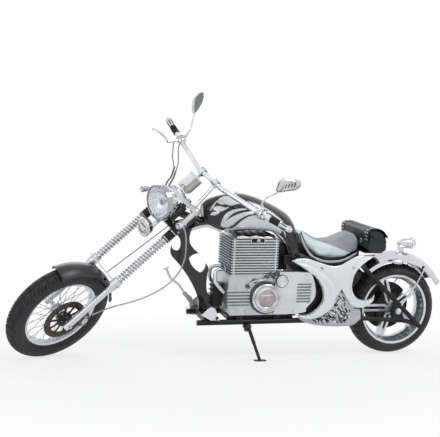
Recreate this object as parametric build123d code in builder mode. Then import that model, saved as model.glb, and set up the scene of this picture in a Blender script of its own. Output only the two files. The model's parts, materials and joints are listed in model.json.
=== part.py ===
from build123d import *
from math import asin, cos, degrees, radians, sin, sqrt, tan
import os

# A chopper motorcycle parked on its side stand, steering against its left stop.
#
# The machine is drawn upright and straight: +X forward, +Y to its left, +Z up, the rear axle
# above x = 0 and the ground at z = 0. The steered pieces are drawn in the fork's own frame: the
# steering axis is Z, X points ahead of it and z = 0 is level with the front axle. Each finished
# piece is then set at the parked pose: steered, leaned, pitched onto both tyres and centred.
# Millimetres and degrees.

# ---------------------------------------------------------------- driving sizes
# stance
wheel_base = 1960
rake = 47.5
fork_offset = 30            # the fork legs and front axle ahead of the steering axis
steer_rest = 40             # turned left, against the stop
lean = 9                    # to the left, on the side stand

# front wheel
front_radius = 297
front_width = 95
front_crown = 50            # radius of the tread's crown
front_tyre_height = 85
front_rim_radius = front_radius - front_tyre_height
front_rim_wall = 20
front_rim_width = 62
front_hub_radius = 24
front_hub_half = 60
spoke_count = 24
disc_radius = 120
disc_inner = 84
disc_thick = 5

# rear wheel
rear_radius = 274
rear_width = 150
rear_crown = 90
rear_tyre_height = 60
rear_rim_radius = rear_radius - rear_tyre_height
rear_rim_wall = 18
rear_rim_width = 128
rear_hub_radius = 46
rear_hub_half = 62
cast_spokes = 5

axle_radius = 8
axle_play = 0.5             # between an axle and its hub's bore
seat_gap = 0.3              # between curved faces that seat on each other

# fork
leg_half = 107              # from the centre to each leg
tube_radius = 16
slider_radius = 18
slider_foot = -26
slider_neck = 262
collar_low = 300
collar_radius = 27
collar_top = 346
spring_top = 672
spring_radius = 25
spring_turns = 19
cup_radius = 25
low_clamp_z = 738
clamp_thick = 28
high_clamp_z = 880
clamp_boss = 25
stem_radius = 13
stem_boss = 26
head_radius = 27
head_play = 4               # between the head tube and each clamp

# handlebar
bar_radius = 14
riser_radius = 11
riser_half = 60
bar_z = 1078
bar_x = 38
bar_bend = (-8, 334, 1129)
bar_tip = (-13, 548, 1175)
grip_radius = 18
grip_length = 118

# frame
tube = 15                   # lower frame tubes
cradle_half = 125
cradle_z = 240
cradle_front = 1222
cradle_rear = 280
stay_radius = 14
stay_half = 100
plate_thick = 14

# engine
engine_half = 132
engine_front = 1050
engine_rear = 768
fins_low = 500
fins_top = 706
fin_count = 14
fin_gap = 7
fin_depth = 12
case_half = 124
case_low = 276
case_rear = 656

# stand
stand_x = 936
stand_y = 157
stand_z = 218
foot_x = 893                # where the foot stands on the ground, from the rear axle
foot_y = 262

os.makedirs("parts", exist_ok=True)


# ---------------------------------------------------------------- the parked pose
def tyre_low(place, axle_point, radius, crown):
    """Height of a wheel's lowest point, and of nothing else, once it stands at the given place."""
    centre = (place * Location(axle_point)).position
    tip = (place * Location(Vector(axle_point) + Vector(0, 1, 0))).position
    across = (tip - centre).Z
    return centre.Z - (radius - crown) * sqrt(1 - across**2) - crown


front_axle_point = Vector(wheel_base, 0, front_radius)
steer_foot = front_axle_point - Vector(cos(radians(rake)), 0, sin(radians(rake))) * fork_offset
FORK_STRAIGHT = Location(steer_foot, (0, -rake, 0))
FORK_IN_FRAME = FORK_STRAIGHT * Location((0, 0, 0), (0, 0, steer_rest))
rear_axle_point = (0, 0, rear_radius)
fork_axle_point = (fork_offset, 0, 0)

LEANED = Location((0, 0, 0), (-lean, 0, 0))
low_front = tyre_low(LEANED * FORK_IN_FRAME, fork_axle_point, front_radius, front_crown)
low_rear = tyre_low(LEANED, rear_axle_point, rear_radius, rear_crown)
pitch = degrees(asin((low_front - low_rear) / wheel_base))
PITCHED = Location((0, 0, 0), (0, pitch, 0)) * LEANED
low_front = tyre_low(PITCHED * FORK_IN_FRAME, fork_axle_point, front_radius, front_crown)
low_rear = tyre_low(PITCHED, rear_axle_point, rear_radius, rear_crown)
centre_x = 971              # the middle of the whole machine's length and width
centre_y = 168
FRAME = Location((-centre_x, -centre_y, -min(low_front, low_rear))) * PITCHED
FORK = FRAME * FORK_IN_FRAME


def finish(piece, label, place):
    """Name one finished sub-part, set it at the parked pose and write it."""
    solid = piece.part.moved(place)
    solid.label = label
    export_step(solid, f"parts/{label}.step")


# Planes of the upright machine: a side view at a distance to the left, and a view from ahead.
def side(y=0):
    """Drawn as seen from the machine's right: x forward, y up; it extrudes to the right."""
    return Plane((0, y, 0), x_dir=(1, 0, 0), z_dir=(0, -1, 0))


def across(x=0):
    """Drawn looking rearwards from ahead: x to the left, y up; it extrudes forward."""
    return Plane((x, 0, 0), x_dir=(0, 1, 0), z_dir=(1, 0, 0))


def radial(centre, angle):
    """A cross-section of a wheel or mudguard: x to the left, y outward at an angle up from ahead."""
    return Plane(centre, x_dir=(0, 1, 0), z_dir=(sin(radians(angle)), 0, -cos(radians(angle))))


def bent_tube(points, radius, bend):
    """One round tube along straight runs joined by arcs."""
    with BuildPart() as pipe:
        with BuildLine() as spine:
            FilletPolyline(*points, radius=bend)
        with BuildSketch(Plane(origin=spine.line @ 0, z_dir=spine.line % 0)):
            Circle(radius)
        sweep(path=spine.line)
    return pipe


def straight_tube(start, end, radius, hollow=0):
    """One round tube or rod between two points."""
    reach = Vector(end) - Vector(start)
    with BuildPart() as rod:
        with BuildSketch(Plane(origin=start, z_dir=reach)):
            Circle(radius)
            if hollow:
                Circle(hollow, mode=Mode.SUBTRACT)
        extrude(amount=reach.length)
    return rod


# ---------------------------------------------------------------- wheels
def tyre(radius, width, crown, rim_radius, bead_half, centre, label, place):
    """A tyre of crown arc, shoulders and straight sidewalls, bored to seat on its rim."""
    half = width / 2
    shoulder = radius - crown + sqrt(crown**2 - half**2)
    with BuildPart() as piece:
        with BuildSketch(Plane(centre, x_dir=(0, 1, 0), z_dir=(1, 0, 0))):
            with BuildLine():
                Line((-bead_half, rim_radius + seat_gap), (bead_half, rim_radius + seat_gap))
                Line((bead_half, rim_radius + seat_gap), (half, shoulder))
                ThreePointArc((half, shoulder), (0, radius), (-half, shoulder))
                Line((-half, shoulder), (-bead_half, rim_radius + seat_gap))
            make_face()
        revolve(axis=Axis(centre, (0, 1, 0)))
    finish(piece, label, place)


tyre(front_radius, front_width, front_crown, front_rim_radius, front_rim_width / 2 + 4,
     fork_axle_point, "front_tyre", FORK)
tyre(rear_radius, rear_width, rear_crown, rear_rim_radius, rear_rim_width / 2 + 4,
     rear_axle_point, "rear_tyre", FRAME)

hub_bore = axle_radius + axle_play
disc_y = front_hub_half + 6

# the front wheel: a well rim, a slim hub with two flanges and laced wire spokes
flange_y = 34
flange_radius = 34
spoke_size = 4
spoke_sweep = 22
rim_seat = front_rim_radius - front_rim_wall + 3
with BuildPart() as front_rim:
    with BuildSketch(Plane(fork_axle_point, x_dir=(0, 1, 0), z_dir=(1, 0, 0))):
        with BuildLine():
            Polyline((-front_rim_width / 2, front_rim_radius), (front_rim_width / 2, front_rim_radius),
                     (front_rim_width / 2 - 5, front_rim_radius - 12), (10, front_rim_radius - front_rim_wall),
                     (-10, front_rim_radius - front_rim_wall),
                     (-front_rim_width / 2 + 5, front_rim_radius - 12), close=True)
        make_face()
        with BuildLine():
            Polyline((-front_hub_half, 0), (-front_hub_half, front_hub_radius),
                     (-flange_y - 4, front_hub_radius), (-flange_y - 4, flange_radius),
                     (-flange_y + 4, flange_radius), (-flange_y + 4, front_hub_radius),
                     (flange_y - 4, front_hub_radius), (flange_y - 4, flange_radius),
                     (flange_y + 4, flange_radius), (flange_y + 4, front_hub_radius),
                     (front_hub_half, front_hub_radius), (front_hub_half, 0), close=True)
        make_face()
    revolve(axis=Axis(fork_axle_point, (0, 1, 0)))
    for count in range(spoke_count):
        side_sign = 1 if count % 2 else -1
        sweep_sign = 1 if count % 4 < 2 else -1
        start_angle = radians(count * 360 / spoke_count)
        end_angle = start_angle + radians(spoke_sweep) * sweep_sign
        start = Vector(fork_offset + (flange_radius - 6) * cos(start_angle), side_sign * flange_y,
                       (flange_radius - 6) * sin(start_angle))
        end = Vector(fork_offset + rim_seat * cos(end_angle), side_sign * 4, rim_seat * sin(end_angle))
        with BuildSketch(Plane(origin=start, z_dir=end - start)):
            Rectangle(spoke_size, spoke_size)
        extrude(amount=(end - start).length)
    with BuildSketch(Plane(fork_axle_point, x_dir=(1, 0, 0), z_dir=(0, -1, 0))):
        Circle(hub_bore)
    extrude(amount=front_hub_half + 1, both=True, mode=Mode.SUBTRACT)
finish(front_rim, "front_rim", FORK)

# the brake disc: a ring on a spider that seats on the hub's left end
spider_arms = 5
with BuildPart() as brake_disc:
    with BuildSketch(Plane((fork_offset, disc_y, 0), x_dir=(1, 0, 0), z_dir=(0, -1, 0))):
        Circle(disc_radius)
        Circle(disc_inner, mode=Mode.SUBTRACT)
        Circle(front_hub_radius + 10)
        with PolarLocations(0, spider_arms * 2):
            with Locations((0, disc_inner / 2 + 10)):
                Rectangle(9, disc_inner)
        Circle(hub_bore, mode=Mode.SUBTRACT)
    extrude(amount=disc_y - front_hub_half)
    with BuildSketch(Plane((fork_offset, front_hub_half, 0), x_dir=(1, 0, 0), z_dir=(0, 1, 0))):
        Circle(disc_radius + 1)
        Circle(front_hub_radius + 10, mode=Mode.SUBTRACT)
    extrude(amount=disc_y - front_hub_half - disc_thick, mode=Mode.SUBTRACT)
finish(brake_disc, "brake_disc", FORK)

# the rear wheel: a deep rim, a round hub and five pairs of cast spokes
rear_inner = rear_rim_radius - rear_rim_wall
spoke_pair = 30
with BuildPart() as rear_rim:
    with BuildSketch(Plane(rear_axle_point, x_dir=(0, 1, 0), z_dir=(1, 0, 0))):
        with BuildLine():
            Polyline((-rear_rim_width / 2, rear_rim_radius), (rear_rim_width / 2, rear_rim_radius),
                     (rear_rim_width / 2 - 4, rear_inner), (rear_rim_width / 2 - 14, rear_inner),
                     (20, rear_inner - 16), (-20, rear_inner - 16),
                     (-rear_rim_width / 2 + 14, rear_inner), (-rear_rim_width / 2 + 4, rear_inner),
                     close=True)
        make_face()
    revolve(axis=Axis(rear_axle_point, (0, 1, 0)))
    with BuildSketch(Plane(rear_axle_point, x_dir=(1, 0, 0), z_dir=(0, -1, 0))):
        Circle(rear_hub_radius)
    extrude(amount=rear_hub_half, both=True)
    with BuildSketch(Plane(rear_axle_point, x_dir=(1, 0, 0), z_dir=(0, -1, 0))):
        with PolarLocations(0, cast_spokes):
            for shift in (-spoke_pair / 2, spoke_pair / 2):
                with Locations((rear_inner / 2 + 10, shift)):
                    Rectangle(rear_inner - 26, 14)
    extrude(amount=16, both=True)
    with BuildSketch(Plane(rear_axle_point, x_dir=(1, 0, 0), z_dir=(0, -1, 0))):
        Circle(hub_bore)
    extrude(amount=rear_hub_half + 1, both=True, mode=Mode.SUBTRACT)
finish(rear_rim, "rear_rim", FRAME)

# ---------------------------------------------------------------- fork
for sign, name in ((1, "left"), (-1, "right")):
    leg_axis = Axis((fork_offset, sign * leg_half, 0), (0, 0, 1))
    with BuildPart() as slider:
        with BuildSketch(Plane((fork_offset, sign * leg_half, 0), x_dir=(1, 0, 0), z_dir=(0, -1, 0))):
            with BuildLine():
                Polyline((0, slider_foot), (slider_radius, slider_foot), (slider_radius, slider_neck),
                         (collar_radius, collar_low), (collar_radius, collar_top), (0, collar_top),
                         close=True)
            make_face()
        revolve(axis=leg_axis)
        with BuildSketch(Plane((fork_offset, 0, 0), x_dir=(1, 0, 0), z_dir=(0, -1, 0))):
            Circle(axle_radius + seat_gap)
        extrude(amount=leg_half * 2, both=True, mode=Mode.SUBTRACT)
    finish(slider, f"fork_slider_{name}", FORK)

    # the long spring stands between the slider's collar and the cup under the lower clamp
    pitch_step = (spring_top - collar_top) / spring_turns
    with BuildPart() as spring:
        with BuildSketch(Plane((fork_offset, sign * leg_half, 0), x_dir=(1, 0, 0), z_dir=(0, -1, 0))):
            with BuildLine():
                coil = []
                for turn in range(spring_turns):
                    foot = collar_top + turn * pitch_step
                    coil.append((tube_radius + 2.5, foot))
                    coil.append((spring_radius, foot + pitch_step / 2))
                coil.append((tube_radius + 2.5, spring_top))
                Polyline((tube_radius + seat_gap, collar_top), *coil,
                         (tube_radius + seat_gap, spring_top), close=True)
            make_face()
        revolve(axis=leg_axis)
    finish(spring, f"fork_spring_{name}", FORK)

    fork_tube = straight_tube((fork_offset, sign * leg_half, collar_top),
                              (fork_offset, sign * leg_half, high_clamp_z + clamp_thick + 6), tube_radius)
    finish(fork_tube, f"fork_tube_{name}", FORK)


def clamp_outline():
    """The plan of both clamps: a bridge of flat metal round the stem and the two fork tubes."""
    with BuildSketch() as plan:
        Circle(stem_boss)
        with Locations((fork_offset, leg_half), (fork_offset, -leg_half)):
            Circle(clamp_boss)
        make_hull()
    return plan.sketch


clamp_plan = clamp_outline()
with BuildPart() as lower_clamp:
    add(clamp_plan.moved(Location((0, 0, low_clamp_z))))
    extrude(amount=clamp_thick)
    with BuildSketch(Plane.XY.offset(spring_top)):
        with Locations((fork_offset, leg_half), (fork_offset, -leg_half)):
            Circle(cup_radius)
    extrude(amount=low_clamp_z - spring_top + 1)
    with BuildSketch(Plane.XY.offset(low_clamp_z)):
        Circle(stem_radius)
    extrude(amount=high_clamp_z - low_clamp_z)
    with BuildSketch(Plane.XY.offset(spring_top - 1)):
        with Locations((fork_offset, leg_half), (fork_offset, -leg_half)):
            Circle(tube_radius + seat_gap)
    extrude(amount=low_clamp_z + clamp_thick + 2 - spring_top, mode=Mode.SUBTRACT)

with BuildPart() as upper_clamp:
    add(clamp_plan.moved(Location((0, 0, high_clamp_z))))
    extrude(amount=clamp_thick)
    fillet(upper_clamp.edges().group_by(Axis.Z)[-1], radius=5)
    with BuildSketch(Plane.XY.offset(high_clamp_z - 1)):
        with Locations((fork_offset, leg_half), (fork_offset, -leg_half)):
            Circle(tube_radius + seat_gap)
    extrude(amount=clamp_thick + 2, mode=Mode.SUBTRACT)
finish(upper_clamp, "upper_clamp", FORK)

# the brace: a flat bridge ahead of the springs' feet, ringed onto both collars
brace_z = collar_top - 22
brace_thick = 7
with BuildPart() as fork_brace:
    with BuildSketch(Plane.XY.offset(brace_z)):
        with Locations((fork_offset, leg_half), (fork_offset, -leg_half)):
            Circle(collar_radius + 7)
        with Locations((fork_offset + collar_radius + 6, 0)):
            Rectangle(22, leg_half * 2)
        with Locations((fork_offset, leg_half), (fork_offset, -leg_half)):
            Circle(collar_radius + seat_gap, mode=Mode.SUBTRACT)
    extrude(amount=brace_thick)
finish(fork_brace, "fork_brace", FORK)

# the front axle, with spacers that keep the wheel central between the legs
spacer_radius = 14
leg_face = leg_half - slider_radius
with BuildPart() as front_axle:
    with BuildSketch(Plane((fork_offset, 0, 0), x_dir=(1, 0, 0), z_dir=(0, -1, 0))):
        Circle(axle_radius)
    extrude(amount=leg_half + slider_radius + 6, both=True)
    with BuildSketch(Plane((fork_offset, disc_y + 1, 0), x_dir=(1, 0, 0), z_dir=(0, 1, 0))):
        Circle(spacer_radius)
    extrude(amount=leg_face - disc_y - 1.5)
    with BuildSketch(Plane((fork_offset, -front_hub_half - 1, 0), x_dir=(1, 0, 0), z_dir=(0, -1, 0))):
        Circle(spacer_radius)
    extrude(amount=leg_face - front_hub_half - 1.5)
finish(front_axle, "front_axle", FORK)


def mudguard(centre, radius, half, skirt, wall, start, finish_angle):
    """A crowned strip with side skirts, swept round a wheel's axle between two angles."""
    crown = skirt * 0.6
    with BuildPart() as guard:
        with BuildSketch(radial(centre, finish_angle)):
            with BuildLine():
                Line((-half, radius - skirt), (-half, radius - crown))
                ThreePointArc((-half, radius - crown), (0, radius), (half, radius - crown))
                Line((half, radius - crown), (half, radius - skirt))
                Line((half, radius - skirt), (half - wall, radius - skirt))
                Line((half - wall, radius - skirt), (half - wall, radius - crown - wall))
                ThreePointArc((half - wall, radius - crown - wall), (0, radius - wall),
                              (wall - half, radius - crown - wall))
                Line((wall - half, radius - crown - wall), (wall - half, radius - skirt))
                Line((wall - half, radius - skirt), (-half, radius - skirt))
            make_face()
        revolve(axis=Axis(centre, (0, 1, 0)), revolution_arc=finish_angle - start)
    return guard


# the front mudguard: held close over the tyre by straps to both collars
guard_gap = 16
guard_radius = front_radius + guard_gap
guard_half = front_width / 2 + 7
guard_wall = 3
guard_skirt = 34
strap_z = collar_low + 1
strap_thick = 6
with BuildPart() as front_fender:
    add(mudguard(fork_axle_point, guard_radius, guard_half, guard_skirt, guard_wall, 30, 127).part)
    with BuildSketch(Plane.XY.offset(strap_z)):
        for sign in (1, -1):
            with Locations((fork_offset, sign * (leg_half + 28) / 2)):
                Rectangle(18, leg_half - 28)
        with Locations((fork_offset, leg_half), (fork_offset, -leg_half)):
            Circle(collar_radius + seat_gap, mode=Mode.SUBTRACT)
    extrude(amount=strap_thick)
    with BuildSketch(Plane((fork_offset, 0, 0), x_dir=(1, 0, 0), z_dir=(0, -1, 0))):
        Circle(guard_radius - guard_wall - 2)
    extrude(amount=22, both=True, mode=Mode.SUBTRACT)
finish(front_fender, "front_fender", FORK)

# the caliper straddles the disc behind the left leg and is bolted to the slider's inner side
caliper_angle = 144
caliper_reach = 112
with BuildPart() as brake_caliper:
    with BuildSketch(Plane((fork_offset, 90, 0), x_dir=(1, 0, 0), z_dir=(0, -1, 0))):
        with Locations((caliper_reach * cos(radians(caliper_angle)), caliper_reach * sin(radians(caliper_angle)))):
            with Locations(Location((0, 0), caliper_angle)):
                Rectangle(52, 76)
    extrude(amount=42)
    fillet(brake_caliper.edges().filter_by(Axis.Y), radius=9)
    with BuildSketch(Plane((fork_offset, 90, 0), x_dir=(1, 0, 0), z_dir=(0, -1, 0))):
        Polygon((0, 22), (0, 100), (-88, 96), (-96, 44), align=None)
    extrude(amount=8)
    with BuildSketch(Plane((fork_offset, disc_y + 3, 0), x_dir=(1, 0, 0), z_dir=(0, -1, 0))):
        Circle(disc_radius + 4)
    extrude(amount=disc_thick + 6, mode=Mode.SUBTRACT)
    with BuildSketch(Plane.XY.offset(-50)):
        with Locations((fork_offset, leg_half)):
            Circle(slider_radius + seat_gap)
    extrude(amount=200, mode=Mode.SUBTRACT)
finish(brake_caliper, "brake_caliper", FORK)

# ---------------------------------------------------------------- lamps, horn and gauge on the fork
# straight ahead and level, once the fork is steered straight
ahead = Vector(cos(radians(rake)), 0, -sin(radians(rake)))
lamp_centre = Vector(169, 0, 776)
lamp_radius = 96
lamp_wall = 3
lamp_plane = Plane(lamp_centre, x_dir=(0, 1, 0), z_dir=ahead)
lamp_axis = Axis(lamp_centre, ahead)
# distance behind the rim, radius
lamp_shape = ((0, 96), (14, 96), (50, 86), (86, 60), (106, 24))
with BuildPart() as headlight:
    with BuildSketch(Plane(lamp_centre, x_dir=(0, 1, 0), z_dir=(ahead.cross(Vector(0, 1, 0))) * -1)):
        with BuildLine():
            outer = [(radius, -behind) for behind, radius in lamp_shape]
            inner = [(radius - lamp_wall, -behind + (lamp_wall if behind > 100 else 0))
                     for behind, radius in reversed(lamp_shape)]
            Polyline(*outer, (0, -lamp_shape[-1][0]), (0, lamp_wall - lamp_shape[-1][0]), *inner, close=True)
        make_face()
    revolve(axis=lamp_axis)
finish(headlight, "headlight", FORK)

# the lens closes the bowl; a short block holds the bowl to the front of the lower clamp
lens_dome = 14
lens_rim = lamp_radius - 10
lens_ball = (lens_rim ** 2 + (lens_dome - 4) ** 2) / (2 * (lens_dome - 4))
lens_middle = lens_dome - lens_ball + sqrt(lens_ball ** 2 - lens_rim ** 2 / 4)
with BuildPart() as headlight_lens:
    with BuildSketch(lamp_plane.offset(0.2)):
        Circle(lamp_radius - 1)
        Circle(lamp_radius - 10, mode=Mode.SUBTRACT)
    extrude(amount=9)
    with BuildSketch(Plane(lamp_centre, x_dir=(0, 1, 0), z_dir=ahead.cross(Vector(0, 1, 0)) * -1)):
        with BuildLine():
            Line((0, 0.2), (lens_rim, 0.2))
            Line((lens_rim, 0.2), (lens_rim, 4))
            ThreePointArc((lens_rim, 4), (lens_rim / 2, lens_middle), (0, lens_dome))
            Line((0, lens_dome), (0, 0.2))
        make_face()
    revolve(axis=lamp_axis)
finish(headlight_lens, "headlight_lens", FORK)

clamp_front = fork_offset + clamp_boss
with BuildPart() as lamp_bracket:
    with BuildSketch(Plane.XY.offset(low_clamp_z + 4)):
        with Locations((clamp_front + 19, 0)):
            Rectangle(38, 44)
    extrude(amount=clamp_thick - 8)
    with BuildSketch(Plane(lamp_centre, x_dir=(0, 1, 0), z_dir=ahead.cross(Vector(0, 1, 0)) * -1)):
        with BuildLine():
            outer = [(radius + seat_gap, -behind) for behind, radius in lamp_shape]
            Polyline((0, 20), (lamp_shape[0][1] + seat_gap, 20), *outer,
                     (0, -lamp_shape[-1][0] - seat_gap), close=True)
        make_face()
    revolve(axis=lamp_axis, mode=Mode.SUBTRACT)
with BuildPart() as clamp_and_nose:
    add(lower_clamp.part)
    add(lamp_bracket.part)
finish(clamp_and_nose, "lower_clamp", FORK)

# the horn: a round trumpet face on a strap under the lower clamp
horn_centre = Vector(94, 0, 632)
horn_radius = 52
horn_depth = 30
strap_x = 49
with BuildPart() as horn:
    with BuildSketch(Plane(horn_centre, x_dir=(0, 1, 0), z_dir=ahead * -1)):
        Circle(horn_radius)
    extrude(amount=horn_depth, taper=16)
    with BuildSketch(Plane(horn_centre, x_dir=(0, 1, 0), z_dir=ahead)):
        Circle(horn_radius - 8)
    extrude(amount=5, taper=30)
    with BuildSketch(Plane((strap_x, 0, 0), x_dir=(0, 1, 0), z_dir=(1, 0, 0))):
        with Locations((0, (low_clamp_z + 640) / 2)):
            Rectangle(24, low_clamp_z - 640)
    extrude(amount=5)
    with BuildSketch(Plane((strap_x, 0, 0), x_dir=(0, 1, 0), z_dir=(1, 0, 0))):
        with Locations((0, 657)):
            Circle(9)
    extrude(amount=24)
finish(horn, "horn", FORK)

# the gauge: a deep cup facing the rider on a plate from the upper clamp
gauge_x = 120
gauge_radius = 46
gauge_low = 924
gauge_top = 1020
clamp_face = high_clamp_z + clamp_thick
with BuildPart() as speedometer:
    with BuildSketch(Plane.XY.offset(clamp_face)):
        with Locations((gauge_x / 2 + 12, 0)):
            Rectangle(gauge_x + 24, 34)
        with Locations((0, 0)):
            Circle(stem_radius + 5)
    extrude(amount=5)
    with BuildSketch(Plane.XY.offset(clamp_face + 4)):
        with Locations((gauge_x, 0)):
            Circle(13)
    extrude(amount=gauge_low - clamp_face)
    with BuildSketch(Plane((gauge_x, 0, 0), x_dir=(1, 0, 0), z_dir=(0, -1, 0))):
        with BuildLine():
            Polyline((0, gauge_low), (gauge_radius - 10, gauge_low), (gauge_radius, gauge_low + 16),
                     (gauge_radius, gauge_top), (gauge_radius - 5, gauge_top),
                     (gauge_radius - 5, gauge_top - 10), (0, gauge_top - 10), close=True)
        make_face()
    revolve(axis=Axis((gauge_x, 0, 0), (0, 0, 1)))
finish(speedometer, "speedometer", FORK)

# turn signals: bullets on stalks ringed to the fork tubes
signal_z = 800
signal_point = (118, 171, 782)
signal_radius = 17
for sign, name in ((1, "left"), (-1, "right")):
    bullet = Vector(signal_point[0], sign * signal_point[1], signal_point[2])
    stalk_start = Vector(fork_offset + 12, sign * (leg_half + 14), signal_z)
    with BuildPart() as front_signal:
        with BuildSketch(Plane.XY.offset(signal_z - 9)):
            with Locations((fork_offset, sign * leg_half)):
                Circle(tube_radius + 7)
        extrude(amount=18)
        add(straight_tube(stalk_start, bullet, 6).part)
        with BuildSketch(Plane(bullet - ahead * 28, x_dir=(0, 1, 0), z_dir=ahead)):
            Circle(signal_radius * 0.5)
        extrude(amount=28, taper=-18)
        with BuildSketch(Plane(bullet, x_dir=(0, 1, 0), z_dir=ahead)):
            Circle(signal_radius)
        extrude(amount=24)
        with BuildSketch(Plane.XY.offset(signal_z - 60)):
            with Locations((fork_offset, sign * leg_half)):
                Circle(tube_radius + seat_gap)
        extrude(amount=120, mode=Mode.SUBTRACT)
    finish(front_signal, f"front_signal_{name}", FORK)

# ---------------------------------------------------------------- handlebar
right_mirror_set = Vector(11, 0, 20)     # the right mirror is set a little higher and further ahead
bar_half = [(bar_x, riser_half + 28, bar_z), bar_bend, bar_tip]
bar_route = [(x, y, z) for x, y, z in reversed(bar_half)] + [(x, -y, z) for x, y, z in bar_half]
handlebar = bent_tube(bar_route, bar_radius, [70, 160, 160, 70])
finish(handlebar, "handlebar", FORK)

with BuildPart() as bar_risers:
    for sign in (1, -1):
        add(straight_tube((4, sign * riser_half, clamp_face - 12), (bar_x, sign * riser_half, bar_z),
                          riser_radius).part)
        with BuildSketch(Plane((bar_x, sign * riser_half + 13, bar_z), x_dir=(1, 0, 0), z_dir=(0, -1, 0))):
            Circle(bar_radius + 8)
        extrude(amount=26)
    with BuildSketch(Plane((bar_x, 0, bar_z), x_dir=(1, 0, 0), z_dir=(0, -1, 0))):
        Circle(bar_radius + seat_gap)
    extrude(amount=riser_half * 2, both=True, mode=Mode.SUBTRACT)
    split(bisect_by=Plane.XY.offset(clamp_face), keep=Keep.TOP)
finish(bar_risers, "bar_risers", FORK)

for sign, name in ((1, "left"), (-1, "right")):
    # the straight end of the bar, from its bend to its tip
    bend = Vector(bar_bend[0], sign * bar_bend[1], bar_bend[2])
    tip = Vector(bar_tip[0], sign * bar_tip[1], bar_tip[2])
    out = (tip - bend).normalized()
    with BuildPart() as grip:
        add(straight_tube(tip - out * grip_length, tip - out * grip_length / 2, grip_radius,
                          bar_radius + seat_gap).part)
        add(straight_tube(tip - out * grip_length / 2, tip, grip_radius - 1, bar_radius + seat_gap).part)
        add(straight_tube(tip, tip + out * 5, grip_radius - 1).part)
        add(straight_tube(tip + out * 5, tip + out * 16, 11).part)
    finish(grip, f"grip_{name}", FORK)

    # the switch housing, with the brake lever on the right only, and the mirror's boss
    housing_out = tip - out * 158
    housing_in = tip - out * 200
    lever_pivot = Vector(40, sign * 384, 1070)
    mirror_base = Vector(14, sign * 351, 1163)
    with BuildPart() as bar_control:
        add(straight_tube(housing_in, housing_out, bar_radius + 8).part)
        add(straight_tube((housing_in + housing_out) * 0.5, mirror_base, 9).part)
        if sign < 0:
            add(straight_tube((housing_in + housing_out) * 0.5, lever_pivot, 9).part)
            add(bent_tube([lever_pivot, (46, sign * 440, 1076), (54, sign * 518, 1064)], 5.5, 40).part)
        else:
            with BuildSketch(Plane(housing_in, x_dir=(1, 0, 0), z_dir=out)):
                with Locations((0, -20)):
                    Rectangle(26, 26)
            extrude(amount=30)
        add(straight_tube(housing_in - out * 30, housing_out + out * 30, bar_radius + seat_gap).part,
            mode=Mode.SUBTRACT)
    finish(bar_control, f"bar_control_{name}", FORK)

    # the mirror: a bent stem and a swept-back angular head with its glass on the inner face
    head_centre = Vector(97, sign * 407, 1331) + (Vector(0, 0, 0) if sign > 0 else right_mirror_set)
    long_way = Vector(-0.26, sign * 0.47, 0.84).normalized()
    up_way = Vector(0.97, 0, 0.25)
    outward = long_way.cross(up_way).normalized() * sign
    head_plane = Plane(head_centre, x_dir=long_way, z_dir=outward)
    flip = 1 if sign > 0 else -1
    outline = [(-66, -38), (-58, 20), (-28, 46), (34, 36), (68, 6), (40, -32)]
    with BuildPart() as mirror:
        with BuildSketch(head_plane):
            Polygon(*[(px, py * flip) for px, py in outline], align=None)
        extrude(amount=20, taper=24)
        with BuildSketch(head_plane):
            Polygon(*[(px, py * flip) for px, py in outline], align=None)
        extrude(amount=-4)
        stem_way = (mirror_base - (housing_in + housing_out) * 0.5).normalized()
        stem_top = head_centre + Vector(-19, sign * -15, -41)
        add(bent_tube([mirror_base, mirror_base + stem_way * 16, (39, sign * 345, 1211),
                       stem_top + Vector(-16, sign * -12, -28), stem_top], 5, [10, 14, 14]).part)
    finish(mirror, f"mirror_{name}", FORK)

# ---------------------------------------------------------------- hoses and cables on the fork
hose_radius = 4
hose_end = (fork_offset + 29.8, leg_half + 34.7, 790)
hose_route = [(-62, 96, 118), (-78, 106, 172), (-92, 130, 236), (-117, 160, 308), (-146, 185, 392),
              (-166, 200, 478), (-172, 205, 562), (-150, 200, 640), (-106, 185, 700), (-50, 168, 744),
              (4, 150, 778), hose_end]


def route_radii(points):
    """An arc as large as its two runs allow at each corner of a hose's route."""
    radii = []
    for before, here, after in zip(points, points[1:], points[2:]):
        run_in = Vector(here) - Vector(before)
        run_out = Vector(after) - Vector(here)
        half_turn = radians(run_in.get_angle(run_out)) / 2
        radii.append(0.45 * min(run_in.length, run_out.length) / tan(half_turn))
    return radii


hose_radii = route_radii(hose_route)
print("brake hose arcs", [round(radius) for radius in hose_radii])
brake_hose = bent_tube(hose_route, hose_radius, hose_radii)
finish(brake_hose, "brake_hose", FORK)

cable_radius = 3
cable_lead = 28             # the straight end of a cable, square to the lamp's bowl


def bowl_end(behind):
    """The last two points of a cable that ends on the right of the lamp's bowl, so far behind its rim."""
    for (near, wide), (far, narrow) in zip(lamp_shape, lamp_shape[1:]):
        if near <= behind <= far:
            radius = wide + (narrow - wide) * (behind - near) / (far - near)
            way = (ahead * (narrow - wide) - Vector(0, far - near, 0)).normalized()
    place = lamp_centre - ahead * behind - Vector(0, radius, 0)
    return [place + way * cable_lead, place + way * 2 * seat_gap]


# both cables hang from the right control and end in the lamp's bowl
cable_routes = (
    [(14.4, -373, 1091.7), (6, -350, 1068), (6, -306, 1027), (8, -240, 996), (26, -190, 942), (56, -158, 906),
     (80, -126, 878), *bowl_end(72)],
    [(-6, -352, 1110.4), (-10, -330, 1084), (-9, -298, 1062), (-4, -246, 1022), (4, -214, 984), (22, -172, 940),
     (46, -138, 898), (70, -104, 872), *bowl_end(97)],
)
with BuildPart() as control_cables:
    for route in cable_routes:
        print("cable arcs", [round(radius) for radius in route_radii(route)])
        add(bent_tube(route, cable_radius, route_radii(route)).part)
    add(straight_tube((clamp_front + 8, 40, brace_z + brace_thick), (39, 62, low_clamp_z), 2.5).part)
finish(control_cables, "control_cables", FORK)


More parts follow.
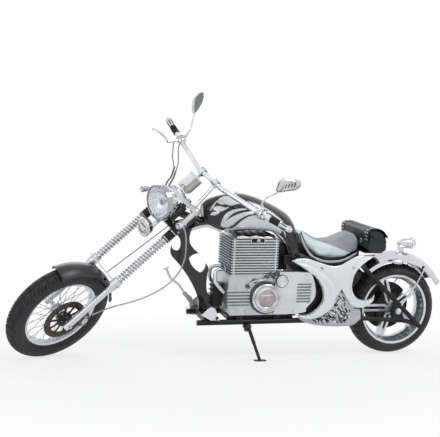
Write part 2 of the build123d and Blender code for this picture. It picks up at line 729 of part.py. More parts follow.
# ---------------------------------------------------------------- frame
head_low = low_clamp_z + clamp_thick + head_play
head_top = high_clamp_z - head_play
with BuildPart() as head_tube:
    with BuildSketch(Plane.XY.offset(head_low)):
        Circle(head_radius)
        Circle(stem_radius + axle_play, mode=Mode.SUBTRACT)
    extrude(amount=head_top - head_low)

neck_low = (FORK_STRAIGHT * Location((0, 0, head_low - 40))).position
neck_top = (FORK_STRAIGHT * Location((0, 0, head_top + 40))).position
backbone_radius = 20
backbone_route = [(1330, 0, 832), (1168, 0, 778), (780, 0, 766), (700, 0, 716)]
cross_x = 694
cross_z = 712
rail_half = 72
rail_radius = 12
# the seat rails drop from its cross tube, with the side covers' bosses across them and the bag's tray
rail_z = 545
rail_end_x = 246
cover_inner = 149
boss_places = ((521, rail_z), (327, rail_z))
tray_low = 628
with BuildPart() as backbone:
    add(bent_tube(backbone_route, backbone_radius, [120, 60]).part)
    add(straight_tube((cross_x, rail_half + 6, cross_z), (cross_x, -rail_half - 6, cross_z),
                      rail_radius + 2).part)
    add(straight_tube(neck_low, neck_top, head_radius - 1).part, mode=Mode.SUBTRACT)
    add(head_tube.part.moved(FORK_STRAIGHT))
    for sign in (1, -1):
        add(bent_tube([(cross_x, sign * rail_half, cross_z), (622, sign * rail_half, rail_z + 26),
                       (560, sign * rail_half, rail_z), (rail_end_x, sign * rail_half, rail_z)],
                      rail_radius, [60, 50]).part)
    for boss_x, boss_z in boss_places:
        add(straight_tube((boss_x, cover_inner, boss_z), (boss_x, -cover_inner, boss_z), 9).part)
    add(straight_tube((rail_end_x, 116, rail_z), (rail_end_x, -116, rail_z), stay_radius).part)
    with BuildSketch(Plane.XY.offset(rail_z)):
        with Locations((rail_end_x, 0)):
            Rectangle(12, 60)
    extrude(amount=tray_low - rail_z + 2)
    with BuildSketch(Plane.XY.offset(tray_low)):
        with Locations((206, 0)):
            Rectangle(108, 300)
    extrude(amount=8)
finish(backbone, "backbone", FRAME)
backbone_bore = bent_tube(backbone_route, backbone_radius + seat_gap, [120, 60])

# the thorned plate that stands in for a down tube
bar_top = case_low
bar_deep = 36
with BuildPart() as down_plate:
    with BuildSketch(side(plate_thick / 2)):
        with BuildLine():
            Line((1350, 784), (1329, 710))
            ThreePointArc((1329, 710), (1303, 668), (1308, 628))
            ThreePointArc((1308, 628), (1328, 620), (1351, 646))
            ThreePointArc((1351, 646), (1358, 612), (1341, 578))
            ThreePointArc((1341, 578), (1252, 470), (1186, 340))
            Line((1186, 340), (1184, bar_top))
            Line((1184, bar_top), (1064, bar_top))
            Line((1064, bar_top), (1064, 366))
            ThreePointArc((1064, 366), (1112, 362), (1142, 388))
            ThreePointArc((1142, 388), (1146, 450), (1138, 508))
            ThreePointArc((1138, 508), (1142, 530), (1156, 546))
            ThreePointArc((1156, 546), (1162, 512), (1186, 496))
            ThreePointArc((1186, 496), (1228, 528), (1252, 576))
            ThreePointArc((1252, 576), (1231, 595), (1194, 603))
            ThreePointArc((1194, 603), (1224, 626), (1248, 656))
            ThreePointArc((1248, 656), (1254, 694), (1232, 744))
            Line((1232, 744), (1226, 812))
            Line((1226, 812), (1350, 784))
        make_face()
    extrude(amount=plate_thick)
    add(straight_tube(neck_low, neck_top, head_radius + seat_gap).part, mode=Mode.SUBTRACT)
    add(backbone_bore.part, mode=Mode.SUBTRACT)
finish(down_plate, "down_plate", FRAME)

# the cradle: two lower tubes, flat cross bars that carry the engine, and the stand's bracket
cross_bars = (1165, 980, 760, 560, 440)
pan_inner = 142
stand_pivot = Vector(stand_x, stand_y, stand_z)
GROUND = FRAME.inverse() * Location((foot_x - centre_x, foot_y - centre_y, 0))
foot_point = GROUND.position
folded_way = Vector(-1, 0.07, -0.14).normalized()
stand_axis = (foot_point - stand_pivot).cross(folded_way).normalized()
stand_travel = (foot_point - stand_pivot).get_angle(folded_way)
eye_radius = 14
eye_thick = 22
pin_radius = 7
with BuildPart() as cradle:
    for sign in (1, -1):
        add(straight_tube((cradle_front, sign * cradle_half, cradle_z),
                          (cradle_rear + 20, sign * cradle_half, cradle_z), tube).part)
    for bar_at in cross_bars:
        with BuildSketch(across(bar_at - 20)):
            with Locations((0, case_low - bar_deep / 2)):
                Rectangle(pan_inner * 2 if bar_at < 700 else cradle_half * 2, bar_deep)
        extrude(amount=40)
    add(straight_tube((cradle_rear + 20, cradle_half + tube, cradle_z),
                      (cradle_rear + 20, -cradle_half - tube, cradle_z), tube).part)
    add(straight_tube(stand_pivot - stand_axis * 36, stand_pivot - stand_axis * (eye_thick / 2 + 0.5),
                      eye_radius + 3).part)
    add(straight_tube(stand_pivot - stand_axis * 20, stand_pivot + stand_axis * (eye_thick / 2 + 5),
                      pin_radius).part)
    add(straight_tube(stand_pivot + stand_axis * (eye_thick / 2 + 0.5), stand_pivot + stand_axis * (eye_thick / 2 + 5),
                      pin_radius + 4).part)
    with Locations((stand_x, cradle_half - 2, 225)):
        Box(40, 22, 34)
finish(cradle, "cradle", FRAME)

# ---------------------------------------------------------------- rear stays
tail_joint = (-153, stay_half, rear_radius - 98)
stay_top = (rail_end_x - 6, stay_half, rail_z - 6)
rear_guard_half = 84
rear_guard_radius = rear_radius + 70
rod_angle = radians(122.6)
rod_reach = rear_guard_radius - 41
rod_x = rod_reach * cos(rod_angle)
rod_z = rear_radius + rod_reach * sin(rod_angle)
for sign, name in ((1, "left"), (-1, "right")):
    with BuildPart() as rear_stay:
        add(straight_tube((stay_top[0], sign * stay_half, stay_top[2]),
                          (tail_joint[0], sign * stay_half, tail_joint[2]), stay_radius).part)
        add(bent_tube([(cradle_rear + 20, sign * stay_half, cradle_z), (110, sign * stay_half, rear_radius - 47),
                       (-60, sign * stay_half, rear_radius - 60), (-146, sign * stay_half, rear_radius - 92)],
                      stay_radius - 1, [300, 90]).part)
        with BuildSketch(side(sign * stay_half + 9)):
            Polygon((-30, rear_radius + 26), (30, rear_radius + 66), (30, rear_radius - 50),
                    (-30, rear_radius - 50), align=None)
        extrude(amount=18)
        # the thin rod that steadies the mudguard
        add(bent_tube([(-16, sign * (stay_half + 8), rear_radius + 30),
                       (rod_x + 59, sign * (stay_half + 10), rod_z - 93),
                       (rod_x - 3, sign * (rear_guard_half + 8), rod_z + 5)], 5, 60).part)
        add(straight_tube((rod_x, sign * rear_guard_half, rod_z), (rod_x, sign * (rear_guard_half + 13), rod_z),
                          9).part)
        with BuildSketch(side(200)):
            with Locations((0, rear_radius)):
                Circle(axle_radius + seat_gap)
        extrude(amount=400, mode=Mode.SUBTRACT)
        add(straight_tube((rail_end_x, 200, rail_z), (rail_end_x, -200, rail_z),
                          stay_radius + seat_gap).part, mode=Mode.SUBTRACT)
        add(straight_tube((cradle_rear + 20, 200, cradle_z), (cradle_rear + 20, -200, cradle_z),
                          tube + seat_gap).part, mode=Mode.SUBTRACT)
    finish(rear_stay, f"rear_stay_{name}", FRAME)

with BuildPart() as rear_axle:
    with BuildSketch(side(stay_half + 24)):
        with Locations((0, rear_radius)):
            Circle(axle_radius)
    extrude(amount=stay_half * 2 + 48)
    for sign in (1, -1):
        add(straight_tube((0, sign * (rear_hub_half + 0.7), rear_radius), (0, sign * (stay_half - 9.3), rear_radius),
                          16).part)
        add(straight_tube((0, sign * (stay_half + 9.3), rear_radius), (0, sign * (stay_half + 18), rear_radius),
                          15).part)
finish(rear_axle, "rear_axle", FRAME)

# ---------------------------------------------------------------- engine
engine_step = (fins_top - fins_low) / fin_count
with BuildPart() as engine_block:
    with BuildSketch(Plane.XY.offset(fins_low)):
        with Locations(((engine_front + engine_rear) / 2, 0)):
            RectangleRounded(engine_front - engine_rear - 2 * fin_depth, 2 * (engine_half - fin_depth), 6)
    extrude(amount=fins_top - fins_low)
    for number in range(fin_count):
        with BuildSketch(Plane.XY.offset(fins_low + engine_step * number)):
            with Locations(((engine_front + engine_rear) / 2, 0)):
                RectangleRounded(engine_front - engine_rear, 2 * engine_half, fin_depth + 4)
        extrude(amount=engine_step - fin_gap)
finish(engine_block, "engine_block", FRAME)

clutch_x = 837
clutch_z = 375
clutch_radius = 84
case_fins = (344, 362, 380, 398, 416)
with BuildPart() as crankcase:
    with BuildSketch(side(case_half)):
        with BuildLine():
            Polyline((engine_front, fins_low), (engine_front + 4, case_low + 70), (engine_front - 10, case_low),
                     (700, case_low), (case_rear + 4, 330), (case_rear, 440), (case_rear + 40, fins_low),
                     close=True)
        make_face()
    extrude(amount=2 * case_half)
    for fin_z in case_fins:
        with Locations((992, case_half + 3, fin_z)):
            Box(130, 7, 8)
    for sign in (1, -1):
        with BuildSketch(side(sign * (case_half + 4) + 4)):
            with Locations((1030, 300), (940, 296)):
                Circle(11)
        extrude(amount=8)
    # the plain round cover on the right
    with BuildSketch(side(1 - case_half)):
        with Locations((clutch_x, clutch_z)):
            Circle(clutch_radius)
    extrude(amount=23)
    with BuildSketch(side(-case_half - 22)):
        with Locations((clutch_x, clutch_z)):
            Circle(clutch_radius - 4)
    extrude(amount=7, taper=30)
finish(crankcase, "crankcase", FRAME)

rocker_half = 100
rocker_waves = 5
with BuildPart() as rocker_cover:
    with BuildSketch(side(rocker_half)):
        with BuildLine():
            wave = 212 / rocker_waves
            Line((788, fins_top), (1000, fins_top))
            Line((1000, fins_top), (1000, fins_top + 10))
            for number in range(rocker_waves):
                right = 1000 - wave * number
                ThreePointArc((right, fins_top + 10), (right - wave / 2, fins_top + 21), (right - wave, fins_top + 10))
            Line((788, fins_top + 10), (788, fins_top))
        make_face()
    extrude(amount=2 * rocker_half)
finish(rocker_cover, "rocker_cover", FRAME)

# the drive covers on the left
cover_out = 148
cover_ribs = 6
rib_first = 362
rib_step = 16.4
with BuildPart() as clutch_cover:
    with BuildSketch(Plane((clutch_x, case_half, clutch_z), x_dir=(1, 0, 0), z_dir=(0, 0, 1))):
        with BuildLine():
            Line((0, 0), (clutch_radius, 0))
            Line((clutch_radius, 0), (clutch_radius, 24))
            ThreePointArc((clutch_radius, 24), (clutch_radius - 5, 33), (clutch_radius - 14, 37))
            Line((clutch_radius - 14, 37), (0, 41))
            Line((0, 41), (0, 0))
        make_face()
    revolve(axis=Axis((clutch_x, 0, clutch_z), (0, 1, 0)))
finish(clutch_cover, "clutch_cover", FRAME)

with BuildPart() as gearbox_cover:
    with BuildSketch(side(cover_out)):
        with BuildLine():
            Line((engine_rear - 1, 524), (606, 520))
            Spline((606, 520), (564, 484), (549, 429), (557, 362), (599, 311), (667, 284),
                   tangents=((-1, 0.05), (1, -0.1)))
            Polyline((667, 284), (790, 284), (790, fins_low - 0.5), (engine_rear - 1, fins_low - 0.5),
                     (engine_rear - 1, 524))
        make_face()
    extrude(amount=cover_out - case_half)
    with BuildSketch(side(cover_out + 9)):
        with Locations((753, 472)):
            Circle(32)
    extrude(amount=12)
    with BuildSketch(side(cover_out + 4)):
        for number in range(cover_ribs):
            with Locations((617, rib_first + rib_step * number)):
                Rectangle(86, 5)
    extrude(amount=6)
    with BuildSketch(side(200)):
        with Locations((clutch_x, clutch_z)):
            Circle(clutch_radius + seat_gap)
    extrude(amount=150, mode=Mode.SUBTRACT)
finish(gearbox_cover, "gearbox_cover", FRAME)

with BuildPart() as front_pipes:
    for sign in (1, -1):
        add(bent_tube([(engine_front + 0.2, sign * 46, 524), (1112, sign * 52, 520), (1112, sign * 62, 452),
                       (1062, sign * 76, 392)], 11, [26, 30]).part)
        with BuildSketch(across(engine_front)):
            with Locations((-sign * 46, 524)):
                Circle(17)
        extrude(amount=7)
    with BuildSketch(side(200)):
        Polygon((engine_front + 4.2, case_low + 70), (engine_front + 0.2, fins_low), (engine_front + 0.2, 600),
                (900, 600), (900, case_low), (engine_front + 2, case_low), align=None)
    extrude(amount=400, mode=Mode.SUBTRACT)
finish(front_pipes, "front_pipes", FRAME)

# ---------------------------------------------------------------- tank
# sections from the nose back: where the seam starts below, where the crest ends above, half widths
tank_sections = (
    # low x, low z, top x, top z, half at the middle, half at the bottom
    (1188, 800, 1192, 880, 40, 24),
    (1150, 766, 1150, 915, 74, 44),
    (1060, 738, 1045, 942, 112, 72),
    (930, 748, 915, 931, 128, 90),
    (790, 736, 745, 862, 120, 92),
    (705, 668, 662, 789, 104, 90),
    (672, 592, 618, 646, 99, 92),
)
tank_steps = 3              # sections faired in from each one to the next
tunnel_half = 28


def faired(rows, steps):
    """Rows of numbers with others between them, on smooth curves through the given ones."""
    result = []
    for index in range(len(rows) - 1):
        before = rows[max(index - 1, 0)]
        after = rows[min(index + 2, len(rows) - 1)]
        for step in range(steps):
            t = step / steps
            result.append(tuple(
                (2 * b + (c - a) * t + (2 * a - 5 * b + 4 * c - d) * t**2 + (3 * b - a - 3 * c + d) * t**3) / 2
                for a, b, c, d in zip(before, rows[index], rows[index + 1], after)))
    return result + [rows[-1]]


with BuildPart() as tank:
    for low_x, low_z, top_x, top_z, half, half_low in faired(tank_sections, tank_steps):
        slope = Vector(top_x - low_x, 0, top_z - low_z)
        height = slope.length
        cut = Plane((low_x, 0, low_z), x_dir=(0, 1, 0), z_dir=Vector(0, 1, 0).cross(slope))
        with BuildSketch(cut):
            with BuildLine():
                Line((-half_low, 0), (half_low, 0))
                ThreePointArc((half_low, 0), (half, height * 0.38), (half * 0.8, height * 0.76))
                ThreePointArc((half * 0.8, height * 0.76), (0, height),
                              (-half * 0.8, height * 0.76))
                ThreePointArc((-half * 0.8, height * 0.76), (-half, height * 0.38), (-half_low, 0))
            make_face()
    loft(ruled=True)
    with BuildSketch(side(tunnel_half)):
        Polygon((1400, 650), (1400, 900), (1196, 818), (1146, 803), (1140, 797.5), (780, 786.5), (640, 762), (640, 560),
                align=None)
    extrude(amount=tunnel_half * 2, mode=Mode.SUBTRACT)
    # room under the tail for the cross tube and the tops of the seat rails
    with BuildSketch(side(rail_half + rail_radius + 3)):
        Polygon((800, 560), (760, 744), (652, 762), (600, 762), (560, 560), align=None)
    extrude(amount=2 * (rail_half + rail_radius + 3), mode=Mode.SUBTRACT)
    # the hooked lips under the nose
    for sign in (1, -1):
        with BuildSketch(side(sign * 44 + 3)):
            Polygon((1270, 714), (1249, 736), (1167, 756), (1090, 727), (1080, 760), (1150, 790), (1253, 743),
                    align=None)
        extrude(amount=6)
finish(tank, "tank", FRAME)

# ---------------------------------------------------------------- seat
seat_half = 115
soft_gap = 0.6
with BuildPart() as seat:
    with BuildSketch(side(seat_half)):
        with BuildLine():
            Line((645, 755), (608, 738))
            ThreePointArc((608, 738), (553, 702), (502, 680))
            ThreePointArc((502, 680), (430, 681), (374, 703))
            Line((374, 703), (312, 740))
            ThreePointArc((312, 740), (288, 736), (284, 700))
            Line((284, 700), (284, 634))
            Polyline((284, 634), (319, 615), (363, 591), (440, 591), (527, 601), (580, 644), (613, 686), (645, 755))
        make_face()
    extrude(amount=2 * seat_half)
    with BuildSketch(Plane.XY.offset(560)):
        Polygon((650, 62), (600, 84), (540, 106), (480, seat_half), (280, seat_half), (280, -seat_half),
                (480, -seat_half), (540, -106), (600, -84), (650, -62), align=None)
    extrude(amount=200, mode=Mode.INTERSECT)
finish(seat, "seat", FRAME)

rail_top = rail_z + rail_radius + seat_gap
strip_line = ((650, 738), (606, 645), (547, 588), (475, 560), (394, 562), (350, 578), (292, 616))
strip_wide = 11
with BuildPart() as seat_base:
    with BuildSketch(side(seat_half - 3)):
        Polygon((606, 648), (547, 588), (475, rail_top), (380, rail_top), (350, 572), (298, 608), (284, 620),
                (284, 634 - soft_gap), (319, 615 - soft_gap), (363, 591 - soft_gap), (440, 591 - soft_gap),
                (527, 601 - soft_gap), (580 + soft_gap, 644 - soft_gap), (613 + soft_gap, 686 - soft_gap), align=None)
    extrude(amount=2 * (seat_half - 3))
    with BuildSketch(Plane.XY.offset(540)):
        Polygon((650, 62), (600, 84), (540, 106), (480, seat_half), (280, seat_half), (280, -seat_half),
                (480, -seat_half), (540, -106), (600, -84), (650, -62), align=None)
    extrude(amount=200, mode=Mode.INTERSECT)
    # a strip down each side of the seat's pan
    for sign in (1, -1):
        with BuildSketch(side(sign * (seat_half + 4.5) + 4)):
            lower = [(x + 5, z - strip_wide / 2) for x, z in strip_line]
            upper = [(x - 5, z + strip_wide / 2 + 2) for x, z in reversed(strip_line)]
            Polygon(*lower, *upper, align=None)
        extrude(amount=8)
        with BuildSketch(side(sign * (seat_half - 1) + 3)):
            with Locations((430, 569)):
                Rectangle(60, 12)
        extrude(amount=6)
finish(seat_base, "seat_base", FRAME)

# ---------------------------------------------------------------- side covers and belly pan
cover_thick = 8
crescent_rise = 8
rear_inner = [(188, 619), (267, 567), (314, 514), (328, 457), (324, 414), (298, 375), (256, 357), (214, 361),
              (182, 387)]
rear_outer = [(182, 387), (197, 344), (247, 315), (288, 311), (331, 327), (354, 361)]
notch = [(354, 361), (390, 420), (423, 368)]
lower_rim = [(423, 368), (445, 316), (512, 265), (591, 252), (672, 278)]
front_inner = [(672, 278), (603, 276), (554, 299), (517, 337), (504, 375), (513, 427), (552, 489), (620, 537),
               (702, 586)]
upper_rim = [(702, 586), (661, 599), (602, 597), (531, 575), (459, 556), (409, 560), (370, 579), (311, 610),
             (250, 619), (188, 619)]
crescent_back = [(702, 586), (602, 570), (530, 531), (467, 484), (432, 431), (423, 368)]
crescent_front = [(354, 361), (345, 400), (356, 470), (330, 548), (262, 606), (188, 619)]


def smooth_face(*runs):
    """A flat face inside smooth runs of points that meet at corners; a short run stays straight."""
    with BuildSketch() as face:
        with BuildLine():
            for run in runs:
                if len(run) > 3:
                    Spline(*run)
                else:
                    Polyline(*run)
        make_face()
    return face.sketch


cover_face = smooth_face(upper_rim, rear_inner, rear_outer, notch, lower_rim, front_inner)
front_crescent = smooth_face(crescent_back, lower_rim, front_inner)
rear_crescent = smooth_face(rear_inner, rear_outer, crescent_front)
for sign, name in ((1, "left"), (-1, "right")):
    with BuildPart() as side_cover:
        with BuildSketch(side(sign * (cover_inner + cover_thick / 2) + cover_thick / 2)):
            add(cover_face)
        extrude(amount=cover_thick)
        rise_middle = cover_inner + cover_thick + crescent_rise / 2
        with BuildSketch(side(sign * rise_middle + crescent_rise / 2)):
            add(front_crescent)
            add(rear_crescent)
        extrude(amount=crescent_rise)
    finish(side_cover, f"side_cover_{name}", FRAME)

pan_wall = 6
pan_keel = [(255, 243), (304, 208), (382, 203), (486, 208), (578, 225), (634, 250)]
pan_crest = [(630, 268), (540, 272), (480, 330), (440, 400), (393, 408), (340, 372), (300, 310), (260, 300)]
with BuildPart() as belly_pan:
    with BuildSketch(side(pan_inner + pan_wall)):
        with BuildLine():
            Spline(*pan_keel)
            Polyline(pan_keel[-1], *pan_crest, pan_keel[0])
        make_face()
    extrude(amount=2 * (pan_inner + pan_wall))
    with BuildSketch(side(pan_inner)):
        Polygon((200, 190), (306, 190), (306, 214), (382, 209), (486, 214), (526, 221), (526, 190), (650, 190),
                (650, 450), (200, 450), align=None)
    extrude(amount=2 * pan_inner, mode=Mode.SUBTRACT)
finish(belly_pan, "belly_pan", FRAME)

# ---------------------------------------------------------------- rear mudguard and what sits on it
rear_centre = (0, 0, rear_radius)
rear_guard = mudguard(rear_centre, rear_guard_radius, rear_guard_half, 54, 3, 49.2, 150)
finish(rear_guard, "rear_fender", FRAME)

# the battery box, with the plate that closes it off from the wheel
inner_guard = rear_radius + 44
box_rear = inner_guard + 12
box_front = 650
box_half = 118
with BuildPart() as battery_box:
    with Locations(((box_rear + box_front) / 2, 0, (case_low + 515) / 2)):
        Box(box_front - box_rear, 2 * box_half, 515 - case_low)
    with BuildSketch(radial(rear_centre, 46)):
        with Locations((0, inner_guard + 2)):
            Rectangle(156, 4)
    revolve(axis=Axis(rear_centre, (0, 1, 0)), revolution_arc=46)
    with BuildSketch(side(40)):
        Polygon((inner_guard, rear_radius + 26), (box_rear + 1, rear_radius + 26), (box_rear + 1, rear_radius + 76),
                (inner_guard - 10, rear_radius + 76), align=None)
    extrude(amount=80)
finish(battery_box, "battery_box", FRAME)

with BuildPart() as tool_bag:
    with BuildSketch(side(180)):
        with BuildLine():
            Line((148, tray_low + 8 + soft_gap), (256, tray_low + 8 + soft_gap))
            Line((256, tray_low + 8 + soft_gap), (265, 746))
            ThreePointArc((265, 746), (258, 764), (241, 770))
            ThreePointArc((241, 770), (205, 772), (172, 760))
            ThreePointArc((172, 760), (140, 730), (130, 690))
            Line((130, 690), (148, tray_low + 8 + soft_gap))
        make_face()
    extrude(amount=360)
finish(tool_bag, "tool_bag", FRAME)

lamp_z = rear_radius + rear_guard_radius + 43
lens_x = -100
with BuildPart() as tail_lamp:
    with BuildSketch(side()):
        with BuildLine():
            Polyline((-16, lamp_z), (-16, lamp_z + 6), (-34, lamp_z + 20), (-64, lamp_z + 28), (lens_x, lamp_z + 30),
                     (lens_x, lamp_z), close=True)
        make_face()
    revolve(axis=Axis((0, 0, lamp_z), (1, 0, 0)))
    with BuildSketch(side(11)):
        Polygon((-62, lamp_z - 71), (-26, lamp_z - 71), (-30, lamp_z - 10), (-58, lamp_z - 10), align=None)
    extrude(amount=22)
    with BuildSketch(side(20)):
        with Locations((0, rear_radius)):
            Circle(rear_guard_radius + seat_gap)
    extrude(amount=40, mode=Mode.SUBTRACT)
finish(tail_lamp, "tail_lamp", FRAME)

with BuildPart() as tail_lens:
    with BuildSketch(side()):
        with BuildLine():
            Polyline((lens_x, lamp_z), (lens_x, lamp_z + 28), (lens_x - 12, lamp_z + 27), (lens_x - 22, lamp_z + 22),
                     (lens_x - 29, lamp_z + 13), (lens_x - 32, lamp_z), close=True)
        make_face()
    revolve(axis=Axis((0, 0, lamp_z), (1, 0, 0)))
finish(tail_lens, "tail_lens", FRAME)

signal_out = rear_guard_half + 38
signal_up = rear_radius + rear_guard_radius - 46
with BuildPart() as rear_signals:
    for sign in (1, -1):
        add(straight_tube((40, sign * rear_guard_half, signal_up), (40, sign * signal_out, signal_up), 7).part)
        with BuildSketch(Plane((0, sign * signal_out, signal_up), x_dir=(1, 0, 0), z_dir=(0, -1, 0))):
            with BuildLine():
                Polyline((70, 0), (70, 5), (52, 13), (26, 16), (16, 16), (8, 10), (6, 0), close=True)
            make_face()
        revolve(axis=Axis((0, sign * signal_out, signal_up), (1, 0, 0)))
finish(rear_signals, "rear_signals", FRAME)

# ---------------------------------------------------------------- forward controls
bracket_outline = [(1203, 287), (1151, 334), (1129, 323), (1099, 258), (1148, 258)]
bracket_inner = cradle_half + tube
peg_x = 1180
peg_z = 226
peg_radius = 14
peg_inner = 174
peg_outer = 262
for sign, name in ((1, "left"), (-1, "right")):
    with BuildPart() as foot_bracket:
        with BuildSketch(side(sign * (bracket_inner + 5) + 5)):
            Polygon(*bracket_outline, align=None)
        extrude(amount=10)
        add(straight_tube((1150, sign * cradle_half, 266), (1150, sign * bracket_inner, 266), 9).part)
        add(straight_tube((1119, sign * (bracket_inner + 10), 273), (1119, sign * (bracket_inner + 20), 273),
                          10).part)
        if sign < 0:
            with BuildSketch(side(-bracket_inner)):
                Polygon((1148, 258), (1203, 287), (1196, 218), (1166, 212), align=None)
                Polygon((1180, 285), (1190, 320), (1228, 350), (1242, 338), (1203, 287), align=None)
            extrude(amount=10)
            add(straight_tube((peg_x, -bracket_inner, peg_z), (peg_x, -peg_inner, peg_z), 8).part)
            add(straight_tube((peg_x, -peg_inner, peg_z), (peg_x, -peg_outer, peg_z), peg_radius).part)
            add(straight_tube((1232, -bracket_inner, 342), (1232, -bracket_inner - 22, 342), 13).part)
            add(bent_tube([(1232, -156, 342), (1266, -158, 391), (1318, -160, 430), (1346, -160, 492)],
                          7, [40, 26]).part)
            with BuildSketch(Plane((1346, -160, 490), x_dir=(0, 1, 0), z_dir=(0.5, 0, 1))):
                Rectangle(64, 28)
            extrude(amount=9)
    finish(foot_bracket, f"foot_bracket_{name}", FRAME)

# ---------------------------------------------------------------- side stand
stand_reach = (foot_point - stand_pivot).length
stand_way = (foot_point - stand_pivot).normalized()
foot_long = 62
foot_wide = 36
foot_thick = 6
with BuildPart() as side_stand:
    add(straight_tube(stand_pivot - stand_axis * (eye_thick / 2), stand_pivot + stand_axis * (eye_thick / 2),
                      eye_radius).part)
    add(straight_tube(stand_pivot, stand_pivot + stand_way * stand_reach * 0.5, 10).part)
    add(straight_tube(stand_pivot + stand_way * stand_reach * 0.5, foot_point, 8.5).part)
    split(bisect_by=Plane(GROUND), keep=Keep.TOP)
    with BuildSketch(Plane(GROUND)):
        Rectangle(foot_long, foot_wide)
    extrude(amount=foot_thick)
    add(straight_tube(stand_pivot - stand_axis * 30, stand_pivot + stand_axis * 30, pin_radius + 0.4).part,
        mode=Mode.SUBTRACT)
finish(side_stand, "side_stand", FRAME)


# ---------------------------------------------------------------- joints at the parked pose
def joint_line(place, point, way):
    """A joint's point in metres and its direction, at the parked pose."""
    here = (place * Location(point)).position
    there = (place * Location(Vector(point) + Vector(way))).position
    axis = (there - here).normalized()
    return [round(c / 1000, 6) for c in here], [round(c, 6) for c in axis]


print("JOINT steering", *joint_line(FORK, (0, 0, high_clamp_z), (0, 0, 1)))
print("JOINT front_axle", *joint_line(FORK, (fork_offset, 0, 0), (0, 1, 0)))
print("JOINT rear_axle", *joint_line(FRAME, (0, 0, rear_radius), (0, 1, 0)))
print("JOINT side_stand", *joint_line(FRAME, stand_pivot, stand_axis))
print("MARK bar_middle", *joint_line(FORK, (bar_x, 0, bar_z), (0, 1, 0)))
print("MARK peg_right", *joint_line(FRAME, (peg_x, -(peg_inner + peg_outer) / 2, peg_z), (0, -1, 0)))
print("MARK stand_foot", *joint_line(FRAME, foot_point, (0, 0, 1)))
print("stand folds through", round(stand_travel, 2), "degrees")
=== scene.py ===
import bpy, bmesh, json, math, random
from mathutils import Matrix, Vector
from mathutils.bvhtree import BVHTree
from mathutils.geometry import delaunay_2d_cdt


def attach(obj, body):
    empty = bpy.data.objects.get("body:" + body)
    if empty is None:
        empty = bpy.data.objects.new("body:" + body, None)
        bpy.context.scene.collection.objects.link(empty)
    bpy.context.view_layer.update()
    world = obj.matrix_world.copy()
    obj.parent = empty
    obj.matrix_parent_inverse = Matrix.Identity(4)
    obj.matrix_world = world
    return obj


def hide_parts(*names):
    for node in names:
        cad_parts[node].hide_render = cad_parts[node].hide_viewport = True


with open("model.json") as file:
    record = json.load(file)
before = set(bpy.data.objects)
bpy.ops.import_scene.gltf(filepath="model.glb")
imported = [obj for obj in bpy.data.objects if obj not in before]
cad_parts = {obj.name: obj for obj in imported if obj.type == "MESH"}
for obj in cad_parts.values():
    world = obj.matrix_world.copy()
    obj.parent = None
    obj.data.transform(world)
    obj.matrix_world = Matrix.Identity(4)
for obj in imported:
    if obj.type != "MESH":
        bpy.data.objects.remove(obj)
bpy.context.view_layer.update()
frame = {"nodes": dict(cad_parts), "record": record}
nodes = frame["nodes"]
MM = 0.001
rad = math.radians
HANDS = ((1, "left"), (-1, "right"))

# The machine's own frames at the parked pose, in millimetres: the upright frame and the steered fork.
FRAME = Matrix(((0.999826, -0.002915, 0.018403, -971.0), (0.0, 0.987688, 0.156434, -168.0),
                (-0.018633, -0.156407, 0.987517, 2.524517), (0, 0, 0, 1)))
FORK = Matrix(((0.525963, -0.44514, -0.724716, 973.454238), (0.723226, 0.682477, 0.105686, -124.999031),
               (0.447557, -0.57972, 0.680894, 237.832704), (0, 0, 0, 1)))
TO_FRAME, TO_FORK = FRAME.inverted(), FORK.inverted()
FORK_BODIES = ("fork", "front_wheel")

# Places that several pieces share, in those frames.
FRONT_AXLE, REAR_AXLE = Vector((30, 0, 0)), Vector((0, 0, 274))
LEG_X, LEG_Y = 30, 107
LAMP_AHEAD = Vector((0.676, 0, -0.737))


def add_object(name, data):
    obj = bpy.data.objects.new(name, data)
    bpy.context.scene.collection.objects.link(obj)
    return obj


def basis(x, y, z, origin):
    """The matrix with these axes and origin."""
    return Matrix((*zip(x, y, z, origin), (0, 0, 0, 1)))


# ---------------------------------------------------------------- camera
CAMERA_PLACE = Vector((1.313, 4.176, 0.656))
AZIMUTH, ELEVATION, ROLL = rad(15.7), rad(-1.5), rad(1.3)
LENS, SENSOR = 64.6, 36


def set_camera():
    flat = math.cos(ELEVATION)
    back = Vector((math.sin(AZIMUTH) * flat, math.cos(AZIMUTH) * flat, math.sin(ELEVATION)))
    right = Vector((0, 0, 1)).cross(back).normalized()
    up = back.cross(right)
    camera = bpy.data.cameras.new("camera")
    camera.sensor_width = SENSOR
    camera.lens = LENS
    camera.clip_start, camera.clip_end = 0.05, 60
    obj = add_object("camera", camera)
    c, s = math.cos(ROLL), math.sin(ROLL)
    obj.matrix_world = basis(right * c + up * s, up * c - right * s, back, CAMERA_PLACE)
    bpy.context.scene.camera = obj


set_camera()

# ---------------------------------------------------------------- materials
MATS, SLOTS = {}, {}


def new_mat(name, **inputs):
    """A material, its node tree and its shader, with some of the shader's inputs set."""
    m = bpy.data.materials.new(name)
    m.use_nodes = True
    shader = m.node_tree.nodes["Principled BSDF"]
    for key, value in inputs.items():
        shader.inputs[key.replace("_", " ")].default_value = value
    return m, m.node_tree, shader


def new_node(t, kind, **inputs):
    """A node with some of its inputs set: sockets link, numbers and colours stay."""
    node = t.nodes.new("ShaderNode" + kind)
    for key, value in inputs.items():
        socket = node.inputs[key.replace("_", " ")]
        if isinstance(value, bpy.types.NodeSocket):
            t.links.new(value, socket)
        else:
            socket.default_value = value
    return node


def noise_node(t, scale, detail, rough):
    where = new_node(t, "TexCoord").outputs["Object"]
    return new_node(t, "TexNoise", Scale=scale, Detail=detail, Roughness=rough, Vector=where).outputs["Fac"]


def ramp(t, source, lo, hi, a, b):
    return new_node(t, "MapRange", From_Min=lo, From_Max=hi, To_Min=a, To_Max=b, Value=source).outputs["Result"]


